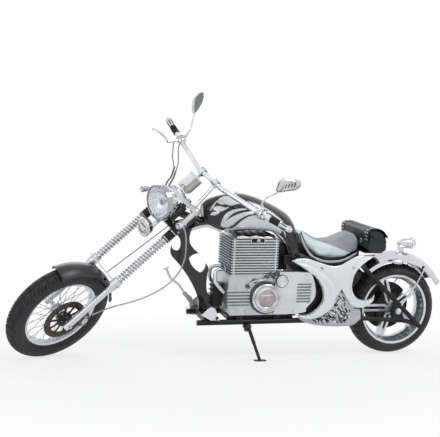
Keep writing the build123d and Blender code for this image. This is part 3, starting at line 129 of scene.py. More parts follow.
def bump_node(t, height, strength, distance):
    return new_node(t, "Bump", Strength=strength, Distance=distance, Height=height).outputs["Normal"]


def look(name, slot, a, b, metal, rough, spread, scale, bump, bump_scale, coat=0.0, sheen=0.0, specular=0.5):
    """A surface with cloudy colour from a to b, uneven roughness and a fine bump, for a slot of the record."""
    m, t, shader = new_mat(name, Metallic=metal, Specular_IOR_Level=specular, Sheen_Weight=sheen)
    clouds = noise_node(t, scale, 4.0, 0.6)
    mix = t.nodes.new("ShaderNodeMix")
    mix.data_type = "RGBA"
    mix.inputs["A"].default_value = (*a, 1)
    mix.inputs["B"].default_value = (*b, 1)
    t.links.new(ramp(t, clouds, 0.3, 0.7, 0, 1), mix.inputs["Factor"])
    t.links.new(mix.outputs["Result"], shader.inputs["Base Color"])
    uneven = ramp(t, clouds, 0.25, 0.75, max(rough - spread, 0.01), rough + spread)
    t.links.new(uneven, shader.inputs["Roughness"])
    if coat:
        shader.inputs["Coat Weight"].default_value = coat
        shader.inputs["Coat Roughness"].default_value = 0.04
    fine = noise_node(t, bump_scale, 2.0, 0.5)
    t.links.new(bump_node(t, fine, bump, 0.0006), shader.inputs["Normal"])
    MATS[name], SLOTS[name] = m, slot


# name, slot, the two colours, metal, roughness, its spread, cloud scale, bump, bump scale
look("chrome", "chrome", (0.46, 0.47, 0.49), (0.76, 0.77, 0.79), 1.0, 0.12, 0.05, 22, 0.08, 70)
# painted highlight: a brighter copy of chrome, for the blown highlights on the bars, their controls and the gauge's
# lit parts
look("bar_chrome", "chrome", (0.66, 0.67, 0.69), (0.88, 0.89, 0.91), 1.0, 0.11, 0.04, 12, 0.05, 70)
look("guard_chrome", "chrome", (0.62, 0.62, 0.65), (0.7, 0.7, 0.74), 1.0, 0.13, 0.03, 5, 0.03, 60)
look("dull_chrome", "chrome", (0.42, 0.42, 0.44), (0.58, 0.58, 0.6), 1.0, 0.24, 0.07, 20, 0.1, 120)
# painted reflection and shade: a dim brown copy of chrome for the brownish reflection in the clutch cover's dome and
# for the gauge's back
look("reflection_brown_chrome", "chrome", (0.3, 0.27, 0.25), (0.5, 0.47, 0.45), 1.0, 0.2, 0.07, 18, 0.08, 100)
look("spring_steel", "chrome", (0.3, 0.31, 0.33), (0.46, 0.47, 0.49), 1.0, 0.16, 0.05, 24, 0.08, 90)
look("lamp_silver", "chrome", (0.84, 0.85, 0.88), (0.92, 0.93, 0.95), 0.9, 0.2, 0.03, 6, 0.03, 60)
look("mirror_glass", "chrome", (0.1, 0.12, 0.11), (0.16, 0.18, 0.17), 0.9, 0.06, 0.02, 6, 0.02, 40)
look("satin_alloy", "satin_alloy", (0.6, 0.61, 0.63), (0.72, 0.73, 0.75), 0.9, 0.3, 0.06, 10, 0.12, 500)
look("cast_alloy", "cast_alloy", (0.5, 0.51, 0.53), (0.64, 0.65, 0.67), 0.85, 0.38, 0.08, 16, 0.35, 900)
look("dark_cast", "cast_alloy", (0.07, 0.07, 0.075), (0.15, 0.15, 0.16), 0.7, 0.42, 0.1, 30, 0.3, 900,
     specular=0.3)
# painted shade: a darker cast colour for the gaps between the fins and the case's ribs
look("gap_grey", "cast_alloy", (0.17, 0.17, 0.18), (0.27, 0.27, 0.28), 0.7, 0.45, 0.1, 30, 0.3, 900, specular=0.3)
# painted shade: blue-grey for the engine's front face, which faces away from the light
look("painted_front_shade", "cast_alloy", (0.24, 0.27, 0.32), (0.33, 0.36, 0.42), 0.7, 0.4, 0.08, 20, 0.3, 900)
look("silver_paint", "tank_paint", (0.6, 0.61, 0.63), (0.7, 0.71, 0.73), 0.55, 0.3, 0.05, 8, 0.1, 1400, 0.4)
look("pearl_paint", "pearl_paint", (0.72, 0.74, 0.77), (0.84, 0.855, 0.88), 0.35, 0.25, 0.04, 5, 0.05, 1800, 0.7)
look("pan_silver", "pan_paint", (0.4, 0.4, 0.43), (0.52, 0.52, 0.55), 0.5, 0.3, 0.05, 8, 0.1, 1400, 0.4)
look("black_gloss", "tank_paint", (0.008, 0.008, 0.01), (0.02, 0.02, 0.023), 0.0, 0.14, 0.04, 6, 0.04, 900, 0.5,
     specular=0.3)
look("guard_black", "black_paint", (0.012, 0.012, 0.015), (0.024, 0.024, 0.028), 0.0, 0.34, 0.05, 6, 0.04, 900)
look("black_satin", "black_paint", (0.01, 0.01, 0.011), (0.024, 0.024, 0.026), 0.0, 0.36, 0.1, 20, 0.2, 1100,
     specular=0.22)
look("black_plastic", "black_plastic", (0.014, 0.014, 0.015), (0.03, 0.03, 0.032), 0.0, 0.5, 0.08, 30, 0.4, 1500,
     specular=0.2)
look("strip_grey", "black_plastic", (0.42, 0.44, 0.47), (0.55, 0.57, 0.6), 0.3, 0.35, 0.05, 12, 0.1, 800)
look("loom_grey", "black_plastic", (0.1, 0.1, 0.11), (0.19, 0.19, 0.2), 0.0, 0.45, 0.1, 40, 0.4, 1300,
     specular=0.4)
look("hose_grey", "black_rubber", (0.34, 0.35, 0.37), (0.5, 0.51, 0.53), 0.4, 0.4, 0.1, 60, 0.4, 900)
look("black_rubber", "black_rubber", (0.014, 0.014, 0.016), (0.035, 0.035, 0.038), 0.0, 0.55, 0.1, 40, 0.4, 1300,
     specular=0.22)
look("tyre_rubber", "tyre_rubber", (0.016, 0.016, 0.017), (0.042, 0.042, 0.044), 0.0, 0.55, 0.12, 25, 0.5, 1200,
     specular=0.3)
look("disc_brown", "disc_steel", (0.035, 0.027, 0.023), (0.12, 0.09, 0.075), 0.6, 0.42, 0.1, 55, 0.2, 700,
     specular=0.3)
look("seat_grey", "seat_leather", (0.27, 0.275, 0.315), (0.34, 0.345, 0.385), 0.0, 0.5, 0.08, 30, 0.6, 800,
     sheen=0.1)
look("seat_blue", "seat_leather", (0.64, 0.75, 0.79), (0.74, 0.84, 0.87), 0.0, 0.45, 0.08, 20, 0.5, 800,
     sheen=0.1)
look("black_leather", "black_leather", (0.012, 0.013, 0.016), (0.034, 0.036, 0.042), 0.0, 0.42, 0.12, 22, 0.7,
     420, specular=0.3)
look("red_lens", "red_lens", (0.4, 0.01, 0.012), (0.6, 0.02, 0.02), 0.0, 0.12, 0.03, 30, 0.3, 300, 0.6)


def glass(name, colour, rough, clear, ior):
    m, t, shader = new_mat(name, Base_Color=(*colour, 1), Roughness=rough, Transmission_Weight=clear, IOR=ior)
    MATS[name], SLOTS[name] = m, "clear_lens"
    return t, shader


glass("clear_glass", (0.96, 0.98, 0.98), 0.03, 0.97, 1.1)
tree, lens_shader = glass("clear_lens", (0.97, 0.985, 1.0), 0.05, 0.92, 1.3)
facets = new_node(tree, "TexVoronoi", Scale=70, Vector=new_node(tree, "TexCoord").outputs["Object"])
tree.links.new(bump_node(tree, facets.outputs["Distance"], 0.09, 0.002), lens_shader.inputs["Normal"])

# the CAD nodes that are shown as they are; a piece stands for each of the others
NODE_LOOKS = {
    "chrome": ("front_axle", "rear_axle", "headlight", "horn", "front_signal_left", "front_signal_right",
               "tail_lamp", "rear_signals"),
    "satin_alloy": ("fork_slider_left", "fork_slider_right", "fork_tube_left", "fork_tube_right", "fork_brace"),
    "guard_chrome": ("rear_fender",),
    "guard_black": ("front_fender",),
    "black_gloss": ("backbone", "down_plate"),
    "black_satin": ("cradle",),
    "loom_grey": ("control_cables",),
    "hose_grey": ("brake_hose",),
    "black_plastic": ("seat_base",),
}
for look_name, names in NODE_LOOKS.items():
    for name in names:
        nodes[name].data.materials.clear()
        nodes[name].data.materials.append(MATS[look_name])


# ---------------------------------------------------------------- building helpers, all in millimetres
def put(name, mesh, looks, body="frame", hides=None, ids=None, smooth=35, bevel=0, segs=2):
    """One mesh, or a list of them, becomes a piece that rides on a body and is given in that body's own frame."""
    verts, faces = gather(*mesh) if isinstance(mesh, list) else mesh
    looks = [looks] if isinstance(looks, str) else looks
    place = FORK if body in FORK_BODIES else FRAME
    me = bpy.data.meshes.new(name)
    me.from_pydata([(place @ Vector(v)) * MM for v in verts], [], faces)
    for each in looks:
        me.materials.append(MATS[each])
    if ids:
        me.polygons.foreach_set("material_index", ids)
    bm = bmesh.new()
    bm.from_mesh(me)
    bmesh.ops.recalc_face_normals(bm, faces=bm.faces)
    bm.to_mesh(me)
    bm.free()
    if smooth:
        me.polygons.foreach_set("use_smooth", [True] * len(me.polygons))
        me.set_sharp_from_angle(angle=rad(smooth))
    obj = add_object(name, me)
    if bevel:
        round_edges(obj, bevel, segs, 32)
    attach(obj, body)
    if hides:
        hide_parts(hides)
    return obj


def round_edges(obj, width, segs, angle):
    mod = obj.modifiers.new("edges", "BEVEL")
    mod.width = width * MM
    mod.segments = segs
    mod.limit_method = "ANGLE"
    mod.angle_limit = rad(angle)
    return mod


def softened(node, looks, width):
    """The CAD node again with its edges rounded, in the node's place."""
    me = nodes[node].data.copy()
    me.name = node + "_shape"
    me.materials.clear()
    for each in [looks] if isinstance(looks, str) else looks:
        me.materials.append(MATS[each])
    bm = bmesh.new()
    bm.from_mesh(me)
    bmesh.ops.remove_doubles(bm, verts=bm.verts, dist=0.00002)
    bmesh.ops.dissolve_limit(bm, angle_limit=rad(1), verts=bm.verts, edges=bm.edges)
    for f in bm.faces:
        f.material_index = 0
        f.smooth = True
    bm.to_mesh(me)
    bm.free()
    me.set_sharp_from_angle(angle=rad(30))
    obj = add_object(node + "_look", me)
    round_edges(obj, width, 2, 30).harden_normals = True
    bodies = frame["record"]["behaviour"]["bodies"]
    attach(obj, next(body for body, members in bodies.items() if node in members))
    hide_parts(node)
    return obj


def bake(obj):
    """Replace an object's mesh by what its modifiers make of it."""
    deps = bpy.context.evaluated_depsgraph_get()
    me = bpy.data.meshes.new_from_object(obj.evaluated_get(deps))
    obj.modifiers.clear()
    obj.data = me


def gather(*parts):
    """Several (verts, faces) pairs as one."""
    verts, faces = [], []
    for v, f in parts:
        base = len(verts)
        verts += list(v)
        faces += [[base + k for k in q] for q in f]
    return verts, faces


def axis_frame(origin, way, hint=(0, 0, 1)):
    """A frame at origin with z along way."""
    z = Vector(way).normalized()
    h = Vector(hint)
    if abs(z.dot(h.normalized())) > 0.99:
        h = Vector((1, 0, 0))
    x = (h - z * h.dot(z)).normalized()
    return basis(x, z.cross(x), z, Vector(origin))


def across(origin, hand=1, hint=(1, 0, 0)):
    """A frame at origin with z out to one side of the machine."""
    return axis_frame(origin, (0, hand, 0), hint)


def turns(count, shift=0):
    """Angles evenly round a circle."""
    return [2 * math.pi * (k + shift) / count for k in range(count)]


def polar(radius, angle):
    return radius * math.cos(angle), radius * math.sin(angle)


def rounded(value, power):
    """value to a power, with its sign kept."""
    return math.copysign(abs(value) ** power, value)


def ease(t):
    t = max(0, min(1, t))
    return t * t * (3 - 2 * t)


def lathe(profile, count=64, place=None, shut=False):
    """Turn (radius, height) points about z. shut joins the last point to the first."""
    n = len(profile)
    verts = [Vector((*polar(r, a), h)) for a in turns(count) for r, h in profile]
    faces = []
    for i in range(count):
        j = (i + 1) % count
        for k in range(n if shut else n - 1):
            l = (k + 1) % n
            quad = [i * n + k, j * n + k, j * n + l, i * n + l]
            if profile[k][0] == 0:
                quad = [i * n + k, j * n + l, i * n + l]
            elif profile[l][0] == 0:
                quad = [i * n + k, j * n + k, i * n + l]
            faces.append(quad)
    return [place @ v for v in verts] if place else verts, faces


def loft(rings, closed=False, flip=False):
    """A skin over rings of points: its ends are shut, either way round, or its last ring joins its first."""
    n, m = len(rings), len(rings[0])
    faces = []
    for i in range(n if closed else n - 1):
        here, there = i * m, (i + 1) % n * m
        faces += [[here + k, here + (k + 1) % m, there + (k + 1) % m, there + k] for k in range(m)]
    if not closed:
        ends = [list(range(m))[::-1], [(n - 1) * m + k for k in range(m)]]
        faces += [end[::-1] for end in ends] if flip else ends
    return [p for ring in rings for p in ring], faces


def slab(lower, upper):
    """A plate between two loops of points."""
    n = len(lower)
    faces = [list(range(n)), list(range(n, 2 * n))[::-1]]
    return list(lower) + list(upper), faces + [[k, (k + 1) % n, n + (k + 1) % n, n + k] for k in range(n)]


def prism(outline, low, high):
    """A side-view (x, z) outline given thickness across the machine, from y = low to y = high."""
    return slab(*[[Vector((x, y, z)) for x, z in outline] for y in (low, high)])


def plate(outline, low, high, place):
    """A flat (x, y) outline given thickness in a frame of its own."""
    return slab(*[[place @ Vector((x, y, h)) for x, y in outline] for h in (low, high)])


def block(centre, size):
    corners = [(a, b, c) for a in (-1, 1) for b in (-1, 1) for c in (-1, 1)]
    verts = [Vector([m + way * s / 2 for m, way, s in zip(centre, corner, size)]) for corner in corners]
    return verts, [[0, 1, 3, 2], [4, 6, 7, 5], [0, 4, 5, 1], [2, 3, 7, 6], [0, 2, 6, 4], [1, 5, 7, 3]]


def curve_through(points, per=10, closed=False):
    """A smooth line through points (Catmull-Rom)."""
    pts = [Vector(p) for p in points]
    out = []
    n = len(pts)
    for i in range(n if closed else n - 1):
        if closed:
            a, b, c, d = pts[i - 1], pts[i], pts[(i + 1) % n], pts[(i + 2) % n]
        else:
            b, c = pts[i], pts[i + 1]
            a = pts[i - 1] if i else b * 2 - c
            d = pts[i + 2] if i + 2 < n else c * 2 - b
        for k in range(per):
            t = k / per
            out.append(0.5 * ((2 * b) + (c - a) * t + (2 * a - 5 * b + 4 * c - d) * t * t
                              + (3 * b - a - 3 * c + d) * t * t * t))
    if not closed:
        out.append(pts[-1])
    return out


def flat_curve(points, per, closed=False):
    """The same for flat points."""
    return [(p.x, p.y) for p in curve_through([(x, y, 0) for x, y in points], per, closed)]


def sweep(path, radius, count=12, closed=False):
    """A round tube along a line; radius is a number or one number a point."""
    path = [Vector(p) for p in path]
    n = len(path)
    radii = radius if isinstance(radius, list) else [radius] * n
    side = (path[1] - path[0]).normalized().orthogonal().normalized()
    rings = []
    for i in range(n):
        after = path[(i + 1) % n if closed else min(i + 1, n - 1)]
        way = (after - path[i - 1 if closed else max(i - 1, 0)]).normalized()
        side = (side - way * side.dot(way)).normalized()
        up = way.cross(side)
        rings.append([path[i] + (side * math.cos(a) + up * math.sin(a)) * radii[i] for a in turns(count)])
    return loft(rings, closed)


def bolt(place, way, radius, height):
    """A hexagon head on a washer."""
    at = axis_frame(place, way)
    head = lathe([(0, height), (radius * 0.8, height), (radius, height * 0.75), (radius, 0.6)], 6, at)
    washer = lathe([(radius * 1.02, 0.8), (radius * 1.35, 0.7), (radius * 1.4, 0)], 20, at)
    return gather(head, washer)


def side_bolts(spots, radius, height, hands=(1, -1)):
    """Bolts that face out at (x, y, z) spots of the left side, and at their mirror images on the right."""
    return [bolt((x, hand * y, z), (0, hand, 0), radius, height) for hand in hands for x, y, z in spots]


def height_at(points, x):
    """Height of a line of (x, z) points at x."""
    points = sorted(points)
    for (x0, z0), (x1, z1) in zip(points, points[1:]):
        if x0 <= x <= x1:
            return z0 + (z1 - z0) * (x - x0) / (x1 - x0)
    return points[0][1] if x < points[0][0] else points[-1][1]


def edge_distance(x, z, line, closed=True):
    best = 1e9
    for i in range(len(line) if closed else len(line) - 1):
        (ax, az), (bx, bz) = line[i], line[(i + 1) % len(line)]
        dx, dz = bx - ax, bz - az
        t = max(0, min(1, ((x - ax) * dx + (z - az) * dz) / (dx * dx + dz * dz + 1e-9)))
        best = min(best, (x - ax - dx * t) ** 2 + (z - az - dz * t) ** 2)
    return math.sqrt(best)


def inside(x, z, line):
    hit = False
    for i in range(len(line)):
        (xi, zi), (xj, zj) = line[i], line[i - 1]
        if (zi > z) != (zj > z) and x < (xj - xi) * (z - zi) / (zj - zi) + xi:
            hit = not hit
    return hit


# ---------------------------------------------------------------- wheels
RIM_RADIUS = 212
TREAD_DEPTH, SHOULDER = 4.6, 0.9


def tyre_mesh(centre, radius, width, bead, crown, blocks, lean_groove):
    """A tyre about y: sidewalls with a bead and raised bands, and a grooved tread."""
    half, tread_half = width / 2, width / 2 * SHOULDER
    edge = radius - crown + math.sqrt(max(crown ** 2 - tread_half ** 2, 1))
    side = []
    for k in range(9):
        t = k / 8
        side.append((-(bead + (half - bead) * math.sin(t * math.pi / 2) ** 0.8),
                     RIM_RADIUS - 4 + (edge - RIM_RADIUS) * 0.55 * t, 0))
    top = side[-1][1]
    for k in range(1, 6):
        t = k / 6
        side.append((-(half + (tread_half - half) * t ** 2), top + (edge - top) * t, 0))
    steps = 34
    line = list(side)
    for k in range(steps + 1):
        y = tread_half * (2 * k / steps - 1)
        line.append((y, radius - crown + math.sqrt(crown ** 2 - y * y), 1))
    line += [(-y, r, g) for y, r, g in reversed(side)]
    around = 660
    verts, faces = [], []
    for i, a in enumerate(turns(around)):
        turn = i / around * blocks
        for y, r, grooved in line:
            if grooved:
                v = abs(y / tread_half)
                cut = (turn + lean_groove * v ** 1.2) % 1.0 < 0.16 and 0.14 < v < 1.0
                between = (turn + 0.5 + lean_groove * v) % 1.0 < 0.12 and v > 0.55
                if cut or between or abs(v - 0.1) < 0.035:
                    r -= TREAD_DEPTH
            elif abs(r - (RIM_RADIUS + (radius - RIM_RADIUS) * 0.3)) < (radius - RIM_RADIUS) * 0.06:
                y += 0.8 if y > 0 else -0.8
            verts.append(Vector((centre[0] + r * math.cos(a), centre[1] + y, centre[2] + r * math.sin(a))))
    n = len(line)
    for i in range(around):
        j = (i + 1) % around
        faces += [[i * n + k, i * n + k + 1, j * n + k + 1, j * n + k] for k in range(n - 1)]
    return verts, faces


TYRES = (("front", (FRONT_AXLE, 297, 95, 30, 50, 40, 0.9)), ("rear", (REAR_AXLE, 274, 150, 62, 90, 36, 0.8)))
for side, sizes in TYRES:
    put(side + "_tyre_tread", tyre_mesh(*sizes), "tyre_rubber", side + "_wheel", side + "_tyre", smooth=50)


def wire_rim():
    at = across(FRONT_AXLE)
    rim = lathe([(192, -12), (196, -26), (208, -30), (213, -31), (216, -29), (214, -27), (208, -25), (200, -14),
                 (196, 0), (200, 14), (208, 25), (214, 27), (216, 29), (213, 31), (208, 30), (196, 26), (192, 12),
                 (190, 0)], 120, at, True)
    hub = lathe([(9, -58), (17, -58), (18, -50), (18, -38), (33, -34), (34, -29), (20, -26), (16, 0), (20, 26),
                 (34, 29), (33, 34), (18, 38), (18, 50), (17, 58), (9, 58)], 48, at, True)
    parts = [rim, hub]
    for k, turn in enumerate(turns(36)):
        hand = 1 if k % 2 else -1
        lean = rad(24) if (k // 2) % 2 else -rad(24)
        start = at @ Vector((*polar(29, turn + lean), hand * 31))
        end = at @ Vector((*polar(191, turn), hand * 4))
        nipple = end + (start - end).normalized() * 13
        parts += [sweep([start, end], 1.9, 8), sweep([nipple, end], 3.0, 8)]
    put("front_rim_wire", parts, "satin_alloy", "front_wheel", "front_rim")


def drilled_disc():
    """The brake disc, drilled through in rows, on its black spider."""
    at = across(FRONT_AXLE)
    rows, columns, hole, inner, thick = 3, 30, 3.6, 84, 5
    spots = [TO_FORK @ (p.co / MM) for p in nodes["brake_disc"].data.vertices]
    outer = max(math.hypot(p.x - FRONT_AXLE.x, p.z) for p in spots)
    y0, y1 = min(p.y for p in spots), max(p.y for p in spots)
    low, high = (y1 - thick, y1) if abs(y1) > abs(y0) else (y0, y0 + thick)
    step = (outer - inner) / rows
    verts, faces = [], []
    for i in range(columns):
        for j in range(rows):
            a0, a2 = 2 * math.pi * i / columns, 2 * math.pi * (i + 1) / columns
            r0, r2 = inner + step * j, inner + step * (j + 1)
            a1, r1 = (a0 + a2) / 2, (r0 + r2) / 2
            cell = [polar(r, a) for a, r in ((a0, r0), (a1, r0), (a2, r0), (a2, r1), (a2, r2), (a1, r2), (a0, r2),
                                             (a0, r1))]
            cx, cy = polar(r1 + (1.5 if i % 2 else -1.5), a1)
            rim = []
            for x, y in cell:
                far = math.hypot(x - cx, y - cy)
                rim.append((cx + (x - cx) / far * hole, cy + (y - cy) / far * hole))
            base = len(verts)
            verts += [at @ Vector((x, y, level)) for level in (low, high) for x, y in cell + rim]
            for k in range(8):
                l = (k + 1) % 8
                faces.append([base + k, base + l, base + 8 + l, base + 8 + k])
                faces.append([base + 16 + k, base + 24 + k, base + 24 + l, base + 16 + l])
                faces.append([base + 8 + k, base + 8 + l, base + 24 + l, base + 24 + k])
                if (j == 0 and k in (0, 1)) or (j == rows - 1 and k in (4, 5)):
                    faces.append([base + k, base + 16 + k, base + 16 + l, base + l])
    put("brake_disc_drilled", (verts, faces), "disc_brown", "front_wheel", "brake_disc")
    mid = (low + high) / 2
    arms = []
    for a in turns(10):
        outline = [(30, a - rad(9)), (88, a - rad(3.4)), (92, a), (88, a + rad(3.4)), (30, a + rad(9))]
        arms.append(plate([polar(r, t) for r, t in outline], mid - 2.4, mid + 2.4, at))
        arms.append(bolt(at @ Vector((*polar(86, a), high)), (0, 1, 0), 4, 3))
    arms.append(lathe([(18, mid - 5), (42, mid - 5), (44, mid), (42, mid + 5), (18, mid + 5)], 40, at, True))
    put("disc_spider", arms, "black_satin", "front_wheel")


wire_rim()
drilled_disc()


# ---------------------------------------------------------------- fork
def coil_spring(hand, name):
    """A round-wire spring over one fork leg."""
    low, high, coils, wire = 350, 668, 19, 3.5
    path = []
    for k in range(coils * 20 + 1):
        t = k / (coils * 20)
        x, y = polar(21, 2 * math.pi * coils * t)
        path.append((LEG_X + x, hand * LEG_Y + y, low + (high - low) * t))
    leg = Matrix.Translation((LEG_X, hand * LEG_Y, 0))
    ends = [lathe([(17, z), (25, z), (25, z + 4), (17, z + 4)], 40, leg, True) for z in (low - 4, high)]
    put("fork_spring_coil_" + name, [sweep(path, wire, 8), *ends], "spring_steel", "fork", "fork_spring_" + name)


for hand, name in HANDS:
    coil_spring(hand, name)

# ---------------------------------------------------------------- tank
# x and z of the lower edge, x and z of the crest, half width, half width at the lower edge
TANK_ROWS = (
    (1188, 800, 1192, 880, 40, 24), (1150, 766, 1150, 915, 74, 44), (1060, 738, 1045, 942, 112, 72),
    (930, 748, 915, 931, 128, 90), (790, 736, 745, 862, 120, 92), (705, 668, 662, 789, 104, 90),
    (672, 592, 618, 646, 99, 92))
TUNNEL = ((640, 762), (780, 786.5), (1140, 797.5), (1146, 803), (1196, 818), (1400, 830))
LIP = [(1270, 714), (1249, 736), (1205, 750), (1167, 756), (1128, 745), (1090, 727), (1082, 742), (1080, 760),
       (1112, 775), (1150, 788), (1200, 782), (1236, 762), (1256, 738)]
LIP_TRIM = [(1266, 716), (1249, 737), (1205, 751), (1167, 757), (1128, 746), (1091, 729), (1086, 742), (1126, 760),
            (1167, 771), (1208, 765), (1250, 751)]
FLAMES = {
    "panel": [(1069, 728), (1043, 741), (1005, 750), (940, 753), (873, 751), (817, 738), (768, 728), (757, 745),
              (778, 780), (838, 812), (878, 831), (916, 836), (955, 829), (986, 811), (1010, 788), (1027, 768),
              (1046, 757), (1070, 755), (1082, 742)],
    "lobe_up": [(1102, 767), (1100, 801), (1085, 835), (1050, 859), (1007, 869), (966, 868), (1006, 857),
                (1043, 841), (1064, 820), (1074, 805)],
    "lobe_low": [(1076, 801), (1048, 823), (1011, 842), (968, 853), (932, 856), (928, 842), (956, 836),
                 (988, 823), (1016, 801), (1036, 777), (1052, 764), (1072, 759), (1093, 762), (1098, 782)],
    "patch_hi": [(1122, 897), (1102, 918), (1070, 928), (1040, 924), (1012, 912), (985, 892), (1012, 893),
                 (1050, 882), (1077, 888), (1100, 886)],
    "patch_mid": [(1140, 872), (1112, 878), (1082, 871), (1062, 878), (1079, 862), (1108, 847), (1121, 834),
                  (1138, 826), (1160, 828), (1150, 842), (1130, 850), (1146, 856)],
    "streak_nose": [(1162, 850), (1152, 872), (1136, 892), (1118, 906), (1132, 886), (1146, 866)],
    "streak_top": [(960, 908), (900, 893), (840, 866), (785, 828), (742, 790), (716, 752), (752, 786), (800, 824),
                   (850, 852), (905, 874)],
    "streak_low": [(900, 862), (850, 846), (800, 816), (762, 780), (738, 742), (726, 708), (746, 740), (776, 774),
                   (818, 806), (862, 830)],
}


def faired(rows, steps):
    """Rows of numbers with others between them, on smooth curves through the given ones."""
    result = []
    for i in range(len(rows) - 1):
        a, b, c, d = rows[max(i - 1, 0)], rows[i], rows[i + 1], rows[min(i + 2, len(rows) - 1)]
        for k in range(steps):
            t = k / steps
            result.append([(2 * q + (r - p) * t + (2 * p - 5 * q + 4 * r - s) * t ** 2
                            + (3 * q - p - 3 * r + s) * t ** 3) / 2 for p, q, r, s in zip(a, b, c, d)])
    return result + [list(rows[-1])]


def arc3(a, b, c, count):
    """Points on the circle through three flat points, anticlockwise from a to just before c."""
    (ax, ay), (bx, by), (cx, cy) = a, b, c
    aa, bb, cc = (x ** 2 + y ** 2 for x, y in (a, b, c))
    d = 2 * (ax * (by - cy) + bx * (cy - ay) + cx * (ay - by))
    ux = (aa * (by - cy) + bb * (cy - ay) + cc * (ay - by)) / d
    uy = (aa * (cx - bx) + bb * (ax - cx) + cc * (bx - ax)) / d
    r = math.hypot(ax - ux, ay - uy)
    t0, t2 = (math.atan2(y - uy, x - ux) for x, y in (a, c))
    return [(ux + x, uy + y) for x, y in (polar(r, t0 + (t2 - t0) * k / count) for k in range(count))]


def tank_mesh(grow=0, tunnel=True):
    """The tank's sections from its nose to its tail, grown all round, with the tunnel for the backbone below."""
    rings = []
    for lx, lz, tx, tz, half, low in faired(TANK_ROWS, 8):
        slope = Vector((tx - lx, 0, tz - lz))
        h = slope.length + grow
        up = slope.normalized()
        half, low = half + grow, low + grow
        shoulder, other = (half * 0.8, h * 0.76), (-half * 0.8, h * 0.76)
        side = arc3((low, -grow), (half, h * 0.38), shoulder, 9)
        ring = side + arc3(shoulder, (0, h), other, 22) + [other] + [(-y, z) for y, z in reversed(side)]
        if tunnel:
            deep = min(max(height_at(TUNNEL, lx) - lz, 4), 0.6 * h)
            wide = min(28, low * 0.6)
            ring += [(-wide, 0), (-wide, deep), (wide, deep), (wide, 0)]
        rings.append([Vector((lx, y, lz)) + up * z for y, z in ring])
    return loft(rings)


def both_sides(outline, low, high):
    """A plate on the left side and its mirror image."""
    return [prism(outline, low, high), prism(outline, -high, -low)]


def tank_pieces():
    put("tank_body", [tank_mesh(), *both_sides(LIP, 41, 47)], "black_gloss", hides="tank", smooth=40)
    shell = put("tank_shell", tank_mesh(0.7, False), "silver_paint")
    for name, outline in FLAMES.items():
        smooth = flat_curve(outline, 5, True)
        for side, low, high in (("left", 18, 200), ("right", -200, -18)):
            cutter = put("cutter", prism(smooth, low, high), "silver_paint", smooth=0)
            decal = add_object(f"flame_{name}_{side}", shell.data.copy())
            mod = decal.modifiers.new("cut", "BOOLEAN")
            mod.operation = "INTERSECT"
            mod.solver = "EXACT"
            mod.object = cutter
            bake(decal)
            bpy.data.objects.remove(cutter)
            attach(decal, "frame")
    bpy.data.objects.remove(shell)
    put("tank_lip_trim", both_sides(LIP_TRIM, 46.6, 48.2), "silver_paint", smooth=0)
    cap = lathe([(0, 9), (24, 9), (27, 7), (28, 3), (31, 2), (32, -4), (0, -4)], 48,
                axis_frame((1010, 0, 939), (0.1, 0, 1)))
    put("filler_cap", cap, "chrome")


tank_pieces()


# ---------------------------------------------------------------- bulged covers
def outline_of(*runs):
    """One closed flat outline from runs that meet at corners; a short run stays straight."""
    out = []
    for run in runs:
        out += (flat_curve(run, 8) if len(run) > 3 else run)[:-1]
    return out


def bulged(outline, hand, inner, height, step=5):
    """A panel across the machine: flat behind at inner, and height(x, z) proud of that in front."""
    xs, zs = zip(*outline)
    flat = [Vector(p) for p in outline]
    n = len(outline)
    x, row = min(xs), 0
    while x < max(xs):
        z = min(zs) + (step / 2 if row % 2 else 0)
        while z < max(zs):
            if inside(x, z, outline) and edge_distance(x, z, outline) > step * 0.45:
                flat.append(Vector((x, z)))
            z += step
        x += step * 0.87
        row += 1
    points, _, tris, _, _, _ = delaunay_2d_cdt(flat, [(i, (i + 1) % n) for i in range(n)], [], 1, 0.01)
    verts = [Vector((p.x, hand * (inner + height(p.x, p.y)), p.y)) for p in points]
    m = len(verts)
    verts += [Vector((p.x, hand * inner, p.y)) for p in points[:n]]
    faces = [list(t) for t in tris] + [[i, (i + 1) % n, m + (i + 1) % n, m + i] for i in range(n)]
    return verts, faces + [[m + i for i in range(n)]]


def roll(edge, width):
    """0 at an outline and 1 from width inside it, round like the edge of a cushion."""
    return math.sqrt(max(0, 1 - (1 - min(edge, width) / width) ** 2))


REAR_INNER = [(188, 619), (267, 567), (314, 514), (328, 457), (324, 414), (298, 375), (256, 357), (214, 361),
              (182, 387)]
REAR_OUTER = [(182, 387), (197, 344), (247, 315), (288, 311), (331, 327), (354, 361)]
NOTCH = [(354, 361), (390, 420), (423, 368)]
LOWER_RIM = [(423, 368), (445, 316), (512, 265), (591, 252), (672, 278)]
FRONT_INNER = [(672, 278), (603, 276), (554, 299), (517, 337), (504, 375), (513, 427), (552, 489), (620, 537),
               (702, 586)]
UPPER_RIM = [(702, 586), (661, 599), (602, 597), (531, 575), (459, 556), (409, 560), (370, 579), (311, 610),
             (250, 619), (188, 619)]
CRESCENT_BACK = [(702, 586), (602, 570), (530, 531), (467, 484), (432, 431), (423, 368)]
CRESCENT_FRONT = [(354, 361), (345, 400), (356, 470), (330, 548), (262, 606), (188, 619)]
COVER = outline_of(UPPER_RIM, REAR_INNER, REAR_OUTER, NOTCH, LOWER_RIM, FRONT_INNER)
FRONT_CRESCENT = outline_of(CRESCENT_BACK, LOWER_RIM, FRONT_INNER)
REAR_CRESCENT = outline_of(REAR_INNER, REAR_OUTER, CRESCENT_FRONT)
BACK_LINE, FRONT_LINE = flat_curve(CRESCENT_BACK, 8), flat_curve(CRESCENT_FRONT, 8)


def cover_height(x, z):
    edge = edge_distance(x, z, COVER)
    high = 8
    if inside(x, z, FRONT_CRESCENT):
        high += 8 * ease(edge_distance(x, z, BACK_LINE, False) / 22)
    elif inside(x, z, REAR_CRESCENT):
        high += 8 * ease(edge_distance(x, z, FRONT_LINE, False) / 20)
    else:
        high += 1.2 * ease(edge / 30)
    return 1.5 + (high - 1.6) * roll(edge, 7)


